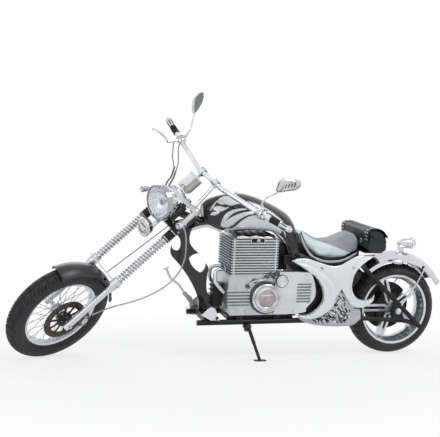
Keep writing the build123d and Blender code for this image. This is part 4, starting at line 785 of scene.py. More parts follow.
for hand, name in HANDS:
    put("side_cover_shape_" + name, bulged(COVER, hand, 149, cover_height), "pearl_paint",
        hides="side_cover_" + name, smooth=50)
    screws = []
    for x in (521, 327):
        at = axis_frame((x, hand * 157.5, 545), (0, hand, 0))
        screws.append(lathe([(4.5, 3.5), (8.2, 3.3), (9, 2), (9, 0)], 24, at))
        screws.append(lathe([(0, 0.6), (4.5, 0.6), (4.5, 3.5)], 6, at))
    put("cover_screws_" + name, screws, "dull_chrome")

PAN_KEEL = [(255, 243), (304, 208), (382, 203), (486, 208), (578, 225), (634, 250)]
PAN_CREST = [(634, 250), (630, 268), (540, 272), (480, 330), (440, 400), (393, 408), (340, 372), (300, 310),
             (260, 300), (255, 243)]
KEEL = flat_curve(PAN_KEEL, 8)
PAN = KEEL[:-1] + PAN_CREST[:-1]
PAN_FACE = 148.25


def pan_height(x, z):
    return 0.4 + 5.6 * roll(edge_distance(x, z, PAN), 9)


def well_inside_pan(x, z, margin):
    return inside(x, z, PAN) and edge_distance(x, z, PAN) >= margin


def thorns():
    """Scattered thorns in dark and light paint, a plain made-up pattern."""
    dice = random.Random(7)
    dark, light = [], []
    for hand in (1, -1):
        for k in range(150):
            t = dice.random()
            cx = 350 + 200 * t + dice.uniform(-25, 25)
            top = 400 - (1.02 * (cx - 392) if cx > 392 else 0.8 * (392 - cx))
            cz = dice.uniform(228 + 10 * t, max(240, top - 8))
            if not well_inside_pan(cx, cz, 12):
                continue
            long_, wide = dice.uniform(9, 26), dice.uniform(2.5, 6.5)
            turn = dice.choice((0.5, 0.9, -0.6, 1.3)) + dice.uniform(-0.4, 0.4)
            bend = dice.uniform(-6, 6)
            thorn = [(-long_, 0), (-long_ * 0.3, wide + bend * 0.5), (long_ * 0.2, wide * 0.7 + bend),
                     (long_, bend * 0.4), (long_ * 0.1, -wide * 0.6 + bend * 0.6), (-long_ * 0.4, -wide * 0.5)]
            c, s = math.cos(turn), math.sin(turn)
            thorn = [(cx + x * c - z * s, cz + x * s + z * c) for x, z in thorn]
            if all(well_inside_pan(x, z, 9) for x, z in thorn):
                ends = sorted((hand * 147.6, hand * (PAN_FACE + 0.004 * k)))
                (dark if k % 4 else light).append(prism(thorn, *ends))
    return dark, light


def belly_pieces():
    floor = [[Vector((x, y, z + up)) for y, up in ((-143, 0.3), (143, 0.3), (143, 5.5), (-143, 5.5))]
             for x, z in KEEL if 300 <= x <= 530]
    put("belly_pan_shape", [bulged(PAN, 1, 142, pan_height, 7), bulged(PAN, -1, 142, pan_height, 7), loft(floor)],
        "pan_silver", hides="belly_pan", smooth=50)
    dark, light = thorns()
    put("pan_thorns_dark", dark, "black_satin", smooth=0)
    put("pan_thorns_light", light, "pearl_paint", smooth=0)


belly_pieces()


# ---------------------------------------------------------------- engine
CLUTCH = (837, 375)


def shade_block(engine):
    """Painted shade: the gaps between the fins at the sides are darker, and so is the front, which faces away from
    the light.
    """
    for p in engine.data.polygons:
        c = TO_FRAME @ (p.center / MM)
        if abs(c.y) < 121.5 and 778 < c.x < 1040 and c.z < 705:
            p.material_index = 1
        elif c.x > 1044 and c.z < 705 and abs(c.y) < 131:
            p.material_index = 2


def engine_pieces():
    shade_block(softened("engine_block", ("cast_alloy", "gap_grey", "painted_front_shade"), 1.2))
    softened("crankcase", "cast_alloy", 1.4)
    softened("gearbox_cover", "satin_alloy", 1.3)
    softened("rocker_cover", "black_satin", 1.6)
    # the bright wavy plate over the fins
    crest = flat_curve([(1018, 717), (990, 722), (955, 717), (915, 722), (878, 716), (846, 719), (812, 713)], 6)
    put("rocker_plate", both_sides([(812, 706.4), (1018, 706.4)] + crest, 122, 130.5), "chrome", bevel=1.2)
    put("engine_sump", [block((853, 0, 262), (386, 216, 33)), block((681, 0, 283), (82, 200, 46))], "black_satin",
        bevel=3)
    mount = prism([(770, 694), (742, 690), (704, 646), (688, 516), (768, 516)], -44, 44)
    put("engine_rear_mount", [mount, block((690, 0, 578), (70, 180, 60))], "black_satin", bevel=3)
    put("front_regulator", [block((1085, 0, 372), (58, 60, 130))]
        + [block((1118, 0, 322 + 25 * k), (12, 56, 7)) for k in range(5)], "black_satin", bevel=2)
    # painted shadows: thin dark sheets between the ribs of the cases and under the fins
    put("case_fin_shadows", [block((992, 124.6, z), (124, 1.4, 9)) for z in (353, 371, 389, 407, 335)]
        + [block((617, 148.6, 353.8 + 16.4 * k), (84, 1.6, 8.6)) for k in range(7)], "gap_grey", bevel=0.3)
    softened("front_pipes", "chrome", 1.5)
    posts, dark, trim = [], [], []
    for hand in (1, -1):
        posts += [block((x, hand * 125, 603), (9, 13.4, 204)) for x in (1029, 789)]
        dark.append(block((898, hand * 132.3, 695), (74, 1.6, 20)))
        trim += [block((898, hand * 132.6, 682), (92, 2.6, 4)), block((859, hand * 132.6, 695), (4, 2.6, 22)),
                 block((937, hand * 132.6, 695), (4, 2.6, 22))]
        trim += side_bolts([(895, 133, 696)], 7, 5, [hand])
        trim += side_bolts([(1030, 132, 300), (940, 132, 296)], 6, 4, [hand])
    case_screws = ((700, 497), (700, 477), (710, 470), (757, 318), (676, 300), (590, 345), (572, 452), (612, 506))
    trim += side_bolts([(x, 148, z) for x, z in case_screws], 4.5, 3.5, [1])
    boss = across((753, 157, 472))
    trim.append(lathe([(0, 4.4), (20, 4), (25, 2), (25.4, 0.5), (28, 0.5), (28.4, 3), (31, 3), (32.4, 1), (32.4, -4),
                       (0, -4)], 48, boss))
    put("boss_ring", lathe([(33, -9), (37, -9), (37.6, -6), (36.6, -4), (33, -4)], 48, boss, True), "dark_cast")
    put("engine_posts", posts, "cast_alloy", bevel=0.8)
    put("engine_plug_recess", dark, "black_satin", bevel=0.4)
    put("engine_trim", trim, "chrome", bevel=0.3)
    # the round cover, with a stepped rim, a raised bar and screws
    cx, cz = CLUTCH
    at = across((cx, 124, cz))
    shell = lathe([(0, 0), (84, 0), (84, 22), (83, 27), (80, 31), (76, 33), (73, 32), (71, 28), (69, 28), (67, 33),
                   (64, 36), (50, 38), (48, 36.4), (44, 36.4), (42, 38.4), (20, 39), (0, 39)], 96, at)
    # the middle of the cover gets the dim brown chrome, a painted reflection
    brown_reflection_ids = [0 if k % 16 < 11 else 1 for k in range(len(shell[1]))]
    put("clutch_cover_shape", shell, ("chrome", "reflection_brown_chrome"), hides="clutch_cover", ids=brown_reflection_ids, smooth=28)
    put("clutch_collar", lathe([(85, 0.2), (91, 0.2), (92, 3), (92, 14), (90, 17), (86, 18)], 72, at, True),
        "dark_cast")
    rim = [polar(77, a) for a in turns(8, 0.5)]
    put("clutch_cover_bits", [block((cx, 163, 396), (74, 3.2, 6))]
        + side_bolts([(cx + x, 156, cz + z) for x, z in rim], 3.6, 3, [1]), "chrome", bevel=0.4)
    pipe = curve_through([(942, 130, 440), (925, 137, 462), (895, 139, 475), (860, 139, 478), (835, 137, 492)], 8)
    put("oil_line", sweep(pipe, 4.6), "chrome")
    fittings = ((942, 131, 440), (835, 137, 494), (905, 133, 470), (812, 137, 508), (795, 137, 494),
                (782, 137, 512))
    put("oil_fittings", [lathe([(0, -7), (11.5, -7), (12, -4), (12, 4), (11, 6), (0, 6)], 28,
                               axis_frame(p, (0, 1, 0))) for p in fittings], "dark_cast", bevel=0.5)


engine_pieces()


# ---------------------------------------------------------------- rear wheel, the guards and lamps
def guard_bead(centre, radius, half, skirt, start, stop):
    """The rolled bead right round a mudguard's rim, between two angles in degrees."""
    low, inset = radius - skirt, 1.5

    def spot(r, angle, y):
        x, z = polar(r, angle)
        return centre[0] + x, y, centre[2] + z

    def edge(hand, half_degrees):
        return [spot(low, rad(d / 2), hand * (half - inset)) for d in half_degrees]

    def lip(degrees, hand):
        return [spot(low + (skirt - 2) * math.sin(math.pi * k / 8) ** 0.55, rad(degrees),
                     hand * half * math.cos(math.pi * k / 8)) for k in range(1, 8)]

    path = edge(1, range(start * 2, stop * 2 + 1, 4)) + lip(stop, 1)
    path += edge(-1, range(stop * 2, start * 2 - 1, -4)) + lip(start, -1)
    return sweep(path, 2.1, 8, True)


def shade_stay(stay):
    """The thin mudguard rod is bright, and the rest of the stay is black."""
    for p in stay.data.polygons:
        c = TO_FRAME @ (p.center / MM)
        if (c.z > 312 and c.x < -18 and abs(c.x * 0.84 + (c.z - 300) * 0.54) < 200 and c.z > 300 - c.x * 0.9
                and abs(c.y) > 93):
            p.material_index = 1


def rear_pieces():
    softened("rear_rim", "satin_alloy", 1.6)
    hub_y, hub_z = 61.6, REAR_AXLE.z
    ring = [polar(37, a) for a in turns(5, 0.5)]
    put("rear_hub_bolts", side_bolts([(x, hub_y, hub_z + z) for x, z in ring], 6, 5), "chrome", "rear_wheel",
        bevel=0.3)
    disc = lathe([(44, -2.5), (140, -2.5), (144, -1), (144, 1), (140, 2.5), (44, 2.5)], 90,
                 across((0, -52, hub_z)), True)
    drum = lathe([(45, -36), (88, -32), (92, -26), (92, 14), (84, 22), (45, 26)], 72,
                 across((0, -14, hub_z)), True)
    put("rear_drum", [disc, drum], "black_satin", "rear_wheel", bevel=1)
    caps = [lathe([(0, 3), (20, 3), (24, 0), (26, -4), (0, -4)], 40, across((0, hand * 63, hub_z), hand))
            for hand in (1, -1)]
    put("rear_hub_caps", caps, "black_satin", "rear_wheel")
    put("rear_guard_bead", guard_bead(REAR_AXLE, 344, 84, 54, 50, 149), "chrome")
    put("front_guard_bead", guard_bead(FRONT_AXLE, 313, 54.5, 34, 31, 126), "black_gloss", "fork")
    # the tail lens: clear and round, with red facets
    at = axis_frame((-100, 0, 661), (-1, 0, 0))
    lens = lathe([(0, -1), (27, -1), (31, 3), (33.6, 8), (34, 14), (33, 19), (31, 22), (29.4, 24.4), (24, 28),
                  (17, 30.6), (8, 31.8), (0, 32)], 48, at)
    red = [1 if 5 <= k % 11 <= 6 else 0 for k in range(len(lens[1]))]
    put("tail_lens_shape", lens, ("clear_lens", "red_lens"), hides="tail_lens", ids=red)
    put("tail_lamp_ring", lathe([(27, -3), (31, -3), (31.6, 1), (31, 5), (28.8, 5)], 48, at, True), "chrome")
    put("rear_signal_lenses", [lathe([(0, 4.6), (6, 3.8), (11, 1.4), (12.4, -1), (0, -1)], 32,
                                     axis_frame((8, hand * 122, 572), (-1, 0, 0))) for hand in (1, -1)],
        "clear_lens")
    put("front_signal_lenses", [lathe([(0, 6), (8, 5), (13, 2.6), (15.6, 0), (15.6, -1), (0, -1)], 32,
                                      axis_frame(Vector((118, hand * 171, 782)) + LAMP_AHEAD * 24, LAMP_AHEAD))
                                for hand in (1, -1)], "clear_lens", "fork")
    # two screws on the plate before the wheel
    put("plate_screws", [bolt(spot, (-0.2, 1, 0), 6, 4) for spot in ((312, 79, 480), (297, 79, 452))], "chrome",
        bevel=0.3)
    for _, side in HANDS:
        shade_stay(softened("rear_stay_" + side, ("black_satin", "chrome"), 1.5))
    put("rear_axle_nuts", side_bolts([(0, 112, hub_z)], 13, 8), "chrome", bevel=0.5)
    put("foot_bracket_screws", [lathe([(0, 1.4), (5, 1.4), (8, 0.8), (9, -0.6), (0, -0.6)], 28,
                                      axis_frame((1119, hand * 160, 273), (0, hand, 0))) for hand in (1, -1)],
        "black_satin")
    for _, side in HANDS:
        softened("foot_bracket_" + side, "pearl_paint", 1.5)


rear_pieces()


# ---------------------------------------------------------------- seat and tool bag
def cloth_inflate(obj, cap, pressure=4.0, frames=20):
    """Blow the form up as cloth for some frames, moving no point by more than cap."""
    start = [p.co.copy() for p in obj.data.vertices]
    cloth = obj.modifiers.new("cloth", "CLOTH")
    s = cloth.settings
    s.quality = 5
    s.mass = 0.3
    s.use_pressure = True
    s.uniform_pressure_force = pressure
    s.effector_weights.gravity = 0
    s.tension_stiffness = s.compression_stiffness = 12
    s.bending_stiffness = 2
    cloth.point_cache.frame_end = frames
    for k in range(1, frames + 1):
        bpy.context.scene.frame_set(k)
    bake(obj)
    bpy.context.scene.frame_set(1)
    for p, q in zip(obj.data.vertices, start):
        move = p.co - q
        if move.length > cap * MM:
            p.co = q + move.normalized() * cap * MM


def padded_shell(name, mesh, voxel, cap, looks, hides):
    """A closed soft form, blown up a little as cloth and made smooth."""
    obj = put(name, mesh, looks, smooth=0)
    remesh = obj.modifiers.new("remesh", "REMESH")
    remesh.mode = "VOXEL"
    remesh.voxel_size = voxel * MM
    bake(obj)
    cloth_inflate(obj, cap)
    relax = obj.modifiers.new("relax", "SMOOTH")
    relax.factor = 0.5
    relax.iterations = 4
    sub = obj.modifiers.new("sub", "SUBSURF")
    sub.levels = sub.render_levels = 1
    bake(obj)
    for each in looks:
        if each not in [m.name for m in obj.data.materials if m]:
            obj.data.materials.append(MATS[each])
    obj.data.polygons.foreach_set("use_smooth", [True] * len(obj.data.polygons))
    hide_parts(hides)
    return obj


SEAT_TOP = ((284, 702), (290, 728), (300, 736), (312, 738), (345, 719), (374, 702), (402, 688), (430, 681),
            (466, 677), (502, 680), (553, 702), (608, 738), (640, 752))
SEAT_LOW = ((284, 634), (319, 615), (363, 591), (440, 591), (527, 601), (580, 644), (613, 686), (640, 747))
SEAT_WIDE = ((284, 104), (300, 112), (330, 115), (480, 115), (540, 106), (600, 84), (640, 66))
SEAT_SEAM = ((640, 752), (616, 741), (548, 696), (471, 672), (393, 644), (330, 622), (284, 612))
SEAT_SHRINK = 5
STRIP = [(650, 738), (632, 694), (608, 650), (581, 617), (549, 595), (512, 580), (475, 574), (434, 574), (394, 579),
         (350, 594), (320, 611), (298, 626)]


def seat_mesh():
    """Sections of the seat from its tail to its nose: flat below, crowned above, dished for the rider."""
    rings = []
    for k in range(45):
        x = 286 + (640 - 286) * k / 44
        top, half = height_at(SEAT_TOP, x) - SEAT_SHRINK, height_at(SEAT_WIDE, x) - SEAT_SHRINK
        low = min(height_at(SEAT_LOW, x) + SEAT_SHRINK * 0.6, top - 6)
        mid, tall = (top + low) / 2, (top - low) / 2
        rings.append([Vector((x, half * rounded(c, 0.55), mid + tall * rounded(s, 0.7 if s > 0 else 0.3)))
                      for c, s in (polar(1, a) for a in turns(32))])
    return loft(rings, flip=True)


def seam_hits(seat, hand):
    """Where the seam's line, seen from one side, lies on the seat."""
    tree = BVHTree.FromPolygons([v.co for v in seat.data.vertices], [p.vertices[:] for p in seat.data.polygons])
    way = FRAME.to_3x3() @ Vector((0, -hand, 0))
    starts = [(FRAME @ Vector((x, hand * 240, z))) * MM for x, z in flat_curve(SEAT_SEAM[1:-1], 6)]
    hits = [tree.ray_cast(start, way)[0] for start in starts]
    return [TO_FRAME @ (hit / MM) for hit in hits if hit]


def side_strip(hand):
    """The pale strip beside the pan, swelling from its pointed ends."""
    line = flat_curve(STRIP, 4)
    last = len(line) - 1
    rings = []
    for i, (x, z) in enumerate(line):
        (xa, za), (xb, zb) = line[max(i - 1, 0)], line[min(i + 1, last)]
        n = Vector((za - zb, xb - xa)).normalized()
        wide = 7.6 * min(1, 0.45 + i / 8, 0.45 + (last - i) / 8)
        ring = []
        for c, s in (polar(1, a) for a in turns(8, 0.5)):
            side = rounded(c, 0.6) * wide
            ring.append(Vector((x + n.x * side, hand * (119.6 + rounded(s, 0.6) * 4.6), z + n.y * side)))
        rings.append(ring)
    return loft(rings)


def seat_pieces():
    seat = padded_shell("seat_pad", seat_mesh(), 5.5, 12, ("seat_grey", "seat_blue"), "seat")
    for p in seat.data.polygons:
        c = TO_FRAME @ (p.center / MM)
        p.material_index = 1 if c.z < height_at(SEAT_SEAM, c.x) and c.x > 330 else 0
    put("seat_welt", [sweep(seam_hits(seat, hand), 1.7, 8) for hand in (1, -1)], "seat_blue")
    put("seat_strips", [side_strip(1), side_strip(-1)], "strip_grey", smooth=40)


BAG = ((150, 640), (254, 640), (260, 700), (263, 742), (258, 758), (244, 768), (208, 770), (176, 760), (152, 738),
       (137, 706), (134, 690))
BAG_MIDDLE = (200, 700)
POCKET = [(158, 646), (248, 646), (252, 690), (249, 722), (226, 716), (200, 714), (174, 716), (158, 722),
          (150, 690)]


def outward(before, after, point, middle):
    """The flat normal of a line between two neighbours of a point, on the side away from the middle."""
    n = Vector((after[1] - before[1], before[0] - after[0])).normalized()
    return -n if n.dot(Vector((point[0] - middle[0], point[1] - middle[1]))) < 0 else n


def bag_ring(grow):
    line = flat_curve(BAG, 5, True)
    middle = [sum(values) / len(line) for values in zip(*line)]
    out = []
    for i, point in enumerate(line):
        n = outward(line[i - 1], line[(i + 1) % len(line)], point, middle)
        out.append((point[0] + n.x * grow, point[1] + n.y * grow))
    return out


def bag_lap():
    """The line that the flap follows: from the front face, over the top and down the back."""
    ring = bag_ring(0.8)
    n = len(ring)
    start = max(range(n), key=lambda i: ring[i][0] - abs(ring[i][1] - 690) * 2)
    way = 1 if ring[(start + 1) % n][1] >= ring[start][1] else -1
    lap = [ring[(start + way * k) % n] for k in range(int(n * 0.64))]
    return lap, [outward(lap[max(i - 1, 0)], lap[min(i + 1, len(lap) - 1)], point, BAG_MIDDLE)
                 for i, point in enumerate(lap)]


def bag_pieces():
    ring = bag_ring(-6)
    rings = [[Vector((x, -172 + 344 * k / 24, z)) for x, z in ring] for k in range(25)]
    padded_shell("tool_bag_body", loft(rings, flip=True), 5, 9, ("black_leather",), "tool_bag")
    # the flap wraps over the top, and the end bands carry the studs
    lap, normals = bag_lap()
    bands = []
    for y0, y1, thick in ((-183, 183, 1.8), (146, 175.6, 3.2), (-175.6, -146, 3.2)):
        bands.append(loft([[Vector((x, y0, z)), Vector((x + n.x * thick, y0, z + n.y * thick)),
                            Vector((x + n.x * thick, y1, z + n.y * thick)), Vector((x, y1, z))]
                           for (x, z), n in zip(lap, normals)]))
    put("tool_bag_flap", bands, "black_leather", bevel=0.7, smooth=45)
    studs, straps, buckles, pockets = [], [], [], []
    for hand in (1, -1):
        for y in (151, 170):
            length = 0
            for i in range(1, len(lap)):
                (x, z), n = lap[i], Vector((normals[i].x, 0, normals[i].y))
                length += math.hypot(x - lap[i - 1][0], z - lap[i - 1][1])
                if length > 17:
                    length = 0
                    studs.append(lathe([(0, 3), (2.2, 2.6), (3.8, 1.2), (4.2, -0.6), (0, -0.6)], 14,
                                       axis_frame(Vector((x, hand * y, z)) + n * 3, n, (0, 1, 0))))
        # a closing strap and its buckle down the front
        middle = hand * 96
        straps.append(block((262, middle, 700), (4, 20, 62)))
        loop = [(265.5, middle + dy, 694 + dz) for dy, dz in ((-13, -9), (13, -9), (13, 9), (-13, 9))]
        buckles.append(sweep(curve_through(loop, 3, True), 1.6, 8, True))
        buckles.append(sweep([(266, middle, 685), (266.4, middle, 703)], 1.2, 8))
        # the end pocket, with its mouth open under the flap's end
        outline = flat_curve(POCKET, 4, True)
        pockets.append(prism(outline, *sorted((hand * 170, hand * 179.2))))
        pockets.append(sweep([(x, hand * 179.6, z) for x, z in outline], 1.4, 6, True))
    put("tool_bag_studs", studs, "chrome")
    put("tool_bag_straps", straps, "black_leather", bevel=1.2)
    put("tool_bag_buckles", buckles, "chrome")
    put("tool_bag_pockets", pockets, "black_leather", bevel=1.5, segs=3, smooth=40)


seat_pieces()
bag_pieces()


# ---------------------------------------------------------------- lamp, horn, gauge and bar on the fork
LENS_RADIUS, LENS_RINGS, FLUTE_PITCH = 89, 16, 11


def headlight_glass(at):
    """The glass: ribbed in upright flutes, as driving lamps are."""
    radii = [LENS_RADIUS * i / LENS_RINGS for i in range(LENS_RINGS + 1)]
    profile = [(r, 6 + 18 * (1 - (r / LENS_RADIUS) ** 2)) for r in radii]
    profile += [(r, 3.5 + 17 * (1 - (r / LENS_RADIUS) ** 2)) for r in reversed(radii)]
    verts, faces = lathe(profile, 96)
    for i, v in enumerate(verts):
        if i % len(profile) < len(radii) and math.hypot(v.x, v.y) < 80:
            v.z += 0.9 * math.cos(v.x * 2 * math.pi / FLUTE_PITCH)
    return [at @ v for v in verts], faces


def lamp_pieces():
    at = axis_frame((169, 0, 776), LAMP_AHEAD, (0, 1, 0))
    bezel = lathe([(96.2, -24), (98.6, -23), (99.2, -18), (98, -16), (98.6, -8), (98.6, 4), (96, 9), (92.6, 10.4),
                   (89.6, 9), (89.4, 3), (95, 2), (95.6, -22)], 96, at, True)
    put("headlight_ring", bezel, "spring_steel", "fork", smooth=40)
    # the reflector: a bright bowl inside the shell, with the bulb on its axis
    bowl = lathe([(90, -1), (88, -6), (78, -26), (62, -46), (42, -62), (18, -72), (0, -73), (0, -75), (19, -74),
                  (43, -64), (63, -48), (79.4, -27), (90, -7)], 72, at)
    put("headlight_reflector", bowl, "lamp_silver", "fork", smooth=40)
    bulb = [lathe([(0, -73), (15, -73), (15, -64), (9, -60), (8, -40), (0, -36)], 32, at),
            lathe([(17, -30), (20, -29), (20, -21), (0, -20), (0, -22), (17, -24)], 32, at)]
    put("headlight_bulb", bulb, "dull_chrome", "fork")
    put("headlight_glass", headlight_glass(at), "clear_lens", "fork", "headlight_lens", smooth=60)


def horn_pieces():
    """The horn's ring, and a plain pale boss with generic red flashes."""
    at = axis_frame((94, 0, 632), LAMP_AHEAD, (0, 1, 0))
    put("horn_ring", lathe([(38, 2), (42, 6), (48, 6.6), (52.4, 3), (53, -2), (51, -4), (38, -2)], 64, at, True),
        "chrome", "fork", smooth=45)
    put("horn_disc", lathe([(0, 9.4), (20, 9), (34, 7.4), (39.5, 4.6), (40, 2), (0, 2)], 56, at), "pearl_paint",
        "fork", smooth=40)
    flashes = []
    dice = random.Random(3)
    for angle in turns(8):
        turn = angle + dice.uniform(-0.1, 0.1)
        far, wide = 24 + dice.uniform(-2, 2), dice.uniform(6, 9.5)
        cx, cy = polar(far, turn)
        outline = []
        for b in turns(7):
            x, y = polar(wide * dice.uniform(0.65, 1.15), b)
            outline.append((cx + x, cy + y * 0.8))
        line = flat_curve(outline, 4, True)
        top, low = [[at @ Vector((x, y, h - (x * x + y * y) / 560)) for x, y in line] for h in (10.2, 6.6)]
        flashes.append(slab(top, low))
    put("horn_flash", flashes, "red_lens", "fork", smooth=30)


def gauge_pieces():
    """The gauge's face: ticks and a pointer under a glass."""
    cx, base = 120, 1010
    up = Matrix.Translation((cx, 0, base))
    put("gauge_face", lathe([(0, 1), (40, 1), (40.6, 0), (0, 0)], 56, up), "black_plastic", "fork")
    ticks = []
    for k in range(25):
        near, w = (31, 0.9) if k % 4 == 0 else (34, 0.5)
        at = up @ Matrix.Rotation(rad(-225 + 270 * k / 24 - 90), 4, "Z")
        ticks.append(plate([(near, w), (37, w), (37, -w), (near, -w)], 1.1, 1.6, at))
    put("gauge_ticks", ticks, "pearl_paint", "fork", smooth=0)
    needle = plate([(0, -1.6), (0, 1.6), (-28, 16)], 2, 3, up)
    put("gauge_needle", [needle, lathe([(0, 4), (3, 4), (4, 1), (0, 1)], 20, up)], "red_lens", "fork", smooth=30)
    put("gauge_glass", lathe([(0, 9), (38, 8), (40.4, 7), (40.4, 5.6), (0, 7.6)], 56, up), "clear_glass", "fork")
    put("gauge_rim", lathe([(40.6, 4), (40.6, 10.6), (43, 12), (46.8, 10.6), (46.8, 2), (45.6, 1), (45.6, 4)], 64,
                           up, True), "chrome", "fork", smooth=45)


def clamp_pieces():
    bolts, collars = [], []
    for hand in (1, -1):
        y = hand * LEG_Y
        top = Matrix.Translation((LEG_X, y, 914))
        bolts.append(lathe([(0, 7), (8.5, 7), (10, 6), (10, 2)], 6, top))
        bolts.append(lathe([(15, 2), (16.4, 1), (16.4, -6), (0, -6), (0, 2)], 32, top))
        bolts += side_bolts([(LEG_X, 131.6, 752), (LEG_X, 131.6, 894), (LEG_X, 134, 322)], 6, 5, [hand])
        for dx, dy in ((15, -9), (-15, -9), (15, 9), (-15, 9)):
            bolts.append(lathe([(0, 1), (2.2, 1), (2.6, 5), (4.6, 5), (5, 4), (5, -6)], 16,
                               Matrix.Translation((38 + dx, hand * (60 + dy), 1096))))
        for z in (304, 342, 680, 730):
            collars.append(lathe([(24, -2), (27.6, -2), (28, -0.8), (28, 0.8), (27.6, 2), (24, 2)], 40,
                                 Matrix.Translation((LEG_X, y, z)), True))
    bolts.append(lathe([(0, 12), (12, 12), (14, 10), (14, 0)], 6, Matrix.Translation((0, 0, 913))))
    put("fork_bolts", bolts, "dull_chrome", "fork", bevel=0.3)
    put("fork_collar_rings", collars, "chrome", "fork")


def bar_end(hand):
    """The bar's tip on one side, and the way that its last run points."""
    bend, tip = Vector((-8, hand * 334, 1129)), Vector((-13, hand * 548, 1175))
    return tip, (tip - bend).normalized()


def grip_profile():
    """The grip's rubber, with nine ribs."""
    line = [(14.4, 0), (19, 0), (19.6, 2), (19, 5)]
    for k in range(9):
        h = 8 + k * 5.4
        line += [(18.2, h), (18.2, h + 3.2), (17.1, h + 3.8), (17.1, h + 4.9)]
    return line + [(18.4, 57), (17, 59), (14.4, 59)]


def grip_pieces(hand, name):
    tip, out = bar_end(hand)
    at = axis_frame(tip - out * 118, out, (1, 0, 0))
    bars = [sweep([at @ Vector((*polar(16.6, a), h)) for h in (64, 70, 100, 110)], [1.4, 2.6, 2.6, 1.4], 8)
            for a in turns(6)]
    put("grip_black_" + name, [lathe(grip_profile(), 40, at, True), *bars], "black_rubber", "fork")
    shine = lathe([(14.4, 59.4), (17.6, 59.4), (18.4, 61), (17.6, 63), (16.4, 65), (16.4, 108), (17.8, 110),
                   (18.2, 113), (17.6, 118), (16.8, 123), (11.4, 124), (11.4, 132), (10, 134), (0, 134.4),
                   (0, 118.6), (14.4, 118.4)], 48, at)
    put("grip_chrome_" + name, shine, "chrome", "fork", "grip_" + name, smooth=40)
    softened("bar_control_" + name, "bar_chrome", 1.6)
    middle = tip - out * 179
    shell = lathe([(14.6, -25), (20, -25), (25, -20), (27, -10), (27, 6), (25.4, 8), (25.4, 10), (26, 12), (24, 21),
                   (19.5, 25), (14.6, 25)], 44, axis_frame(middle, out, (1, 0, 0)), True)
    put("bar_housing_" + name, shell, "chrome", "fork", smooth=40)

    def square_to_bar(way):
        return (way - out * out.dot(way)).normalized()

    way = square_to_bar(Vector((-0.8, 0, 0.5)))
    buttons = [lathe([(0, 10), (6, 9.6), (8.4, 8), (9, 2), (9, -3), (0, -3)], 28,
                     axis_frame(middle + way * 26, way, out))]
    for along, turn in ((-10, 0.6), (4, 0.6), (14, 1.9)):
        way = square_to_bar(Matrix.Rotation(turn, 4, out) @ Vector((0, 0, 1)))
        buttons.append(lathe([(0, 4), (3.4, 4), (4.4, 3), (4.8, -2), (0, -2)], 20,
                             axis_frame(middle + out * along + way * 26, way, out)))
    for along in (-7, 7):
        buttons.append(lathe([(25.2, -1), (27.4, -0.6), (27.4, 0.6), (25.2, 1)], 40,
                             axis_frame(middle + out * along, out, (1, 0, 0)), True))
    put("bar_buttons_" + name, buttons, "black_plastic", "fork")


# each mirror's middle and its outline, along and across its length
MIRRORS = {
    "left": ((97, 407, 1331), [(-64, -52), (-64, -10), (-46, 34), (-22, 43), (38, 18), (71, -12), (47, -56),
                               (-8, -56)]),
    "right": ((108, -407, 1351), [(-68, -46), (-62, 22), (-30, 54), (34, 43), (70, 6), (42, -40)]),
}
# the shell's rings as (height, share of the outline): the glass's bed, the rim and the domed back
MIRROR_RINGS = ((-2.4, 0.9), (-4, 0.9), (-4, 0.97), (-3, 1.0), (2, 1.0), (8, 0.95), (14, 0.84), (18, 0.68),
                (20, 0.45), (20.5, 0.2))


def mirror_pieces(hand, name):
    centre, outline = MIRRORS[name]
    centre = Vector(centre)
    long_way = Vector((-0.26, hand * 0.47, 0.84)).normalized()
    outward_way = (long_way.cross(Vector((0.97, 0, 0.25))) * hand).normalized()
    at = basis(long_way, outward_way.cross(long_way).normalized(), outward_way, centre)
    line = [(x * 0.96, y * 0.96) for x, y in flat_curve([(x, y * hand) for x, y in outline], 6, True)]
    shell = loft([[at @ Vector((x * k, y * k, h)) for x, y in line] for h, k in MIRROR_RINGS])
    tip, out = bar_end(hand)
    foot, knee = Vector((14, hand * 351, 1163)), Vector((39, hand * 345, 1211))
    way = (foot - (tip - out * 179)).normalized()
    top = centre + Vector((-19, hand * -15, -41))
    route = [foot - way * 4, foot + way * 12, knee * 0.7 + (foot + way * 16) * 0.3, knee,
             top + Vector((-16, hand * -12, -28)), top]
    nut = lathe([(5, -2), (9, -2), (9, 6), (5, 8)], 6, axis_frame(foot, way), True)
    put("mirror_shape_" + name, [shell, sweep(curve_through(route, 8), 5, 14), nut], "chrome", "fork",
        "mirror_" + name, smooth=32)
    pane = [(x * 0.895, y * 0.895) for x, y in line]
    put("mirror_glass_" + name, plate(pane, -3.4, -2.5, at), "mirror_glass", "fork", smooth=0)
    slots = []
    for x0 in (-30, -10, 10, 30):
        slot = [(x0, -14), (x0 + 5, -16), (x0 + 13, 16), (x0 + 8, 18)]
        slots.append(plate([(x * 0.8, y * 0.8 * hand) for x, y in slot], 21.3, 15.3, at))
    put("mirror_slots_" + name, slots, "black_satin", "fork", smooth=0)


def shade_gauge(gauge):
    """Painted light and shade: the instrument's lower part and its lit front are brighter than its back."""
    for p in gauge.data.polygons:
        spot = TO_FORK @ (p.center / MM)
        if spot.z < 922 or (spot.x - 120) * 0.77 > spot.y * 0.64 + 9:
            p.material_index = 1


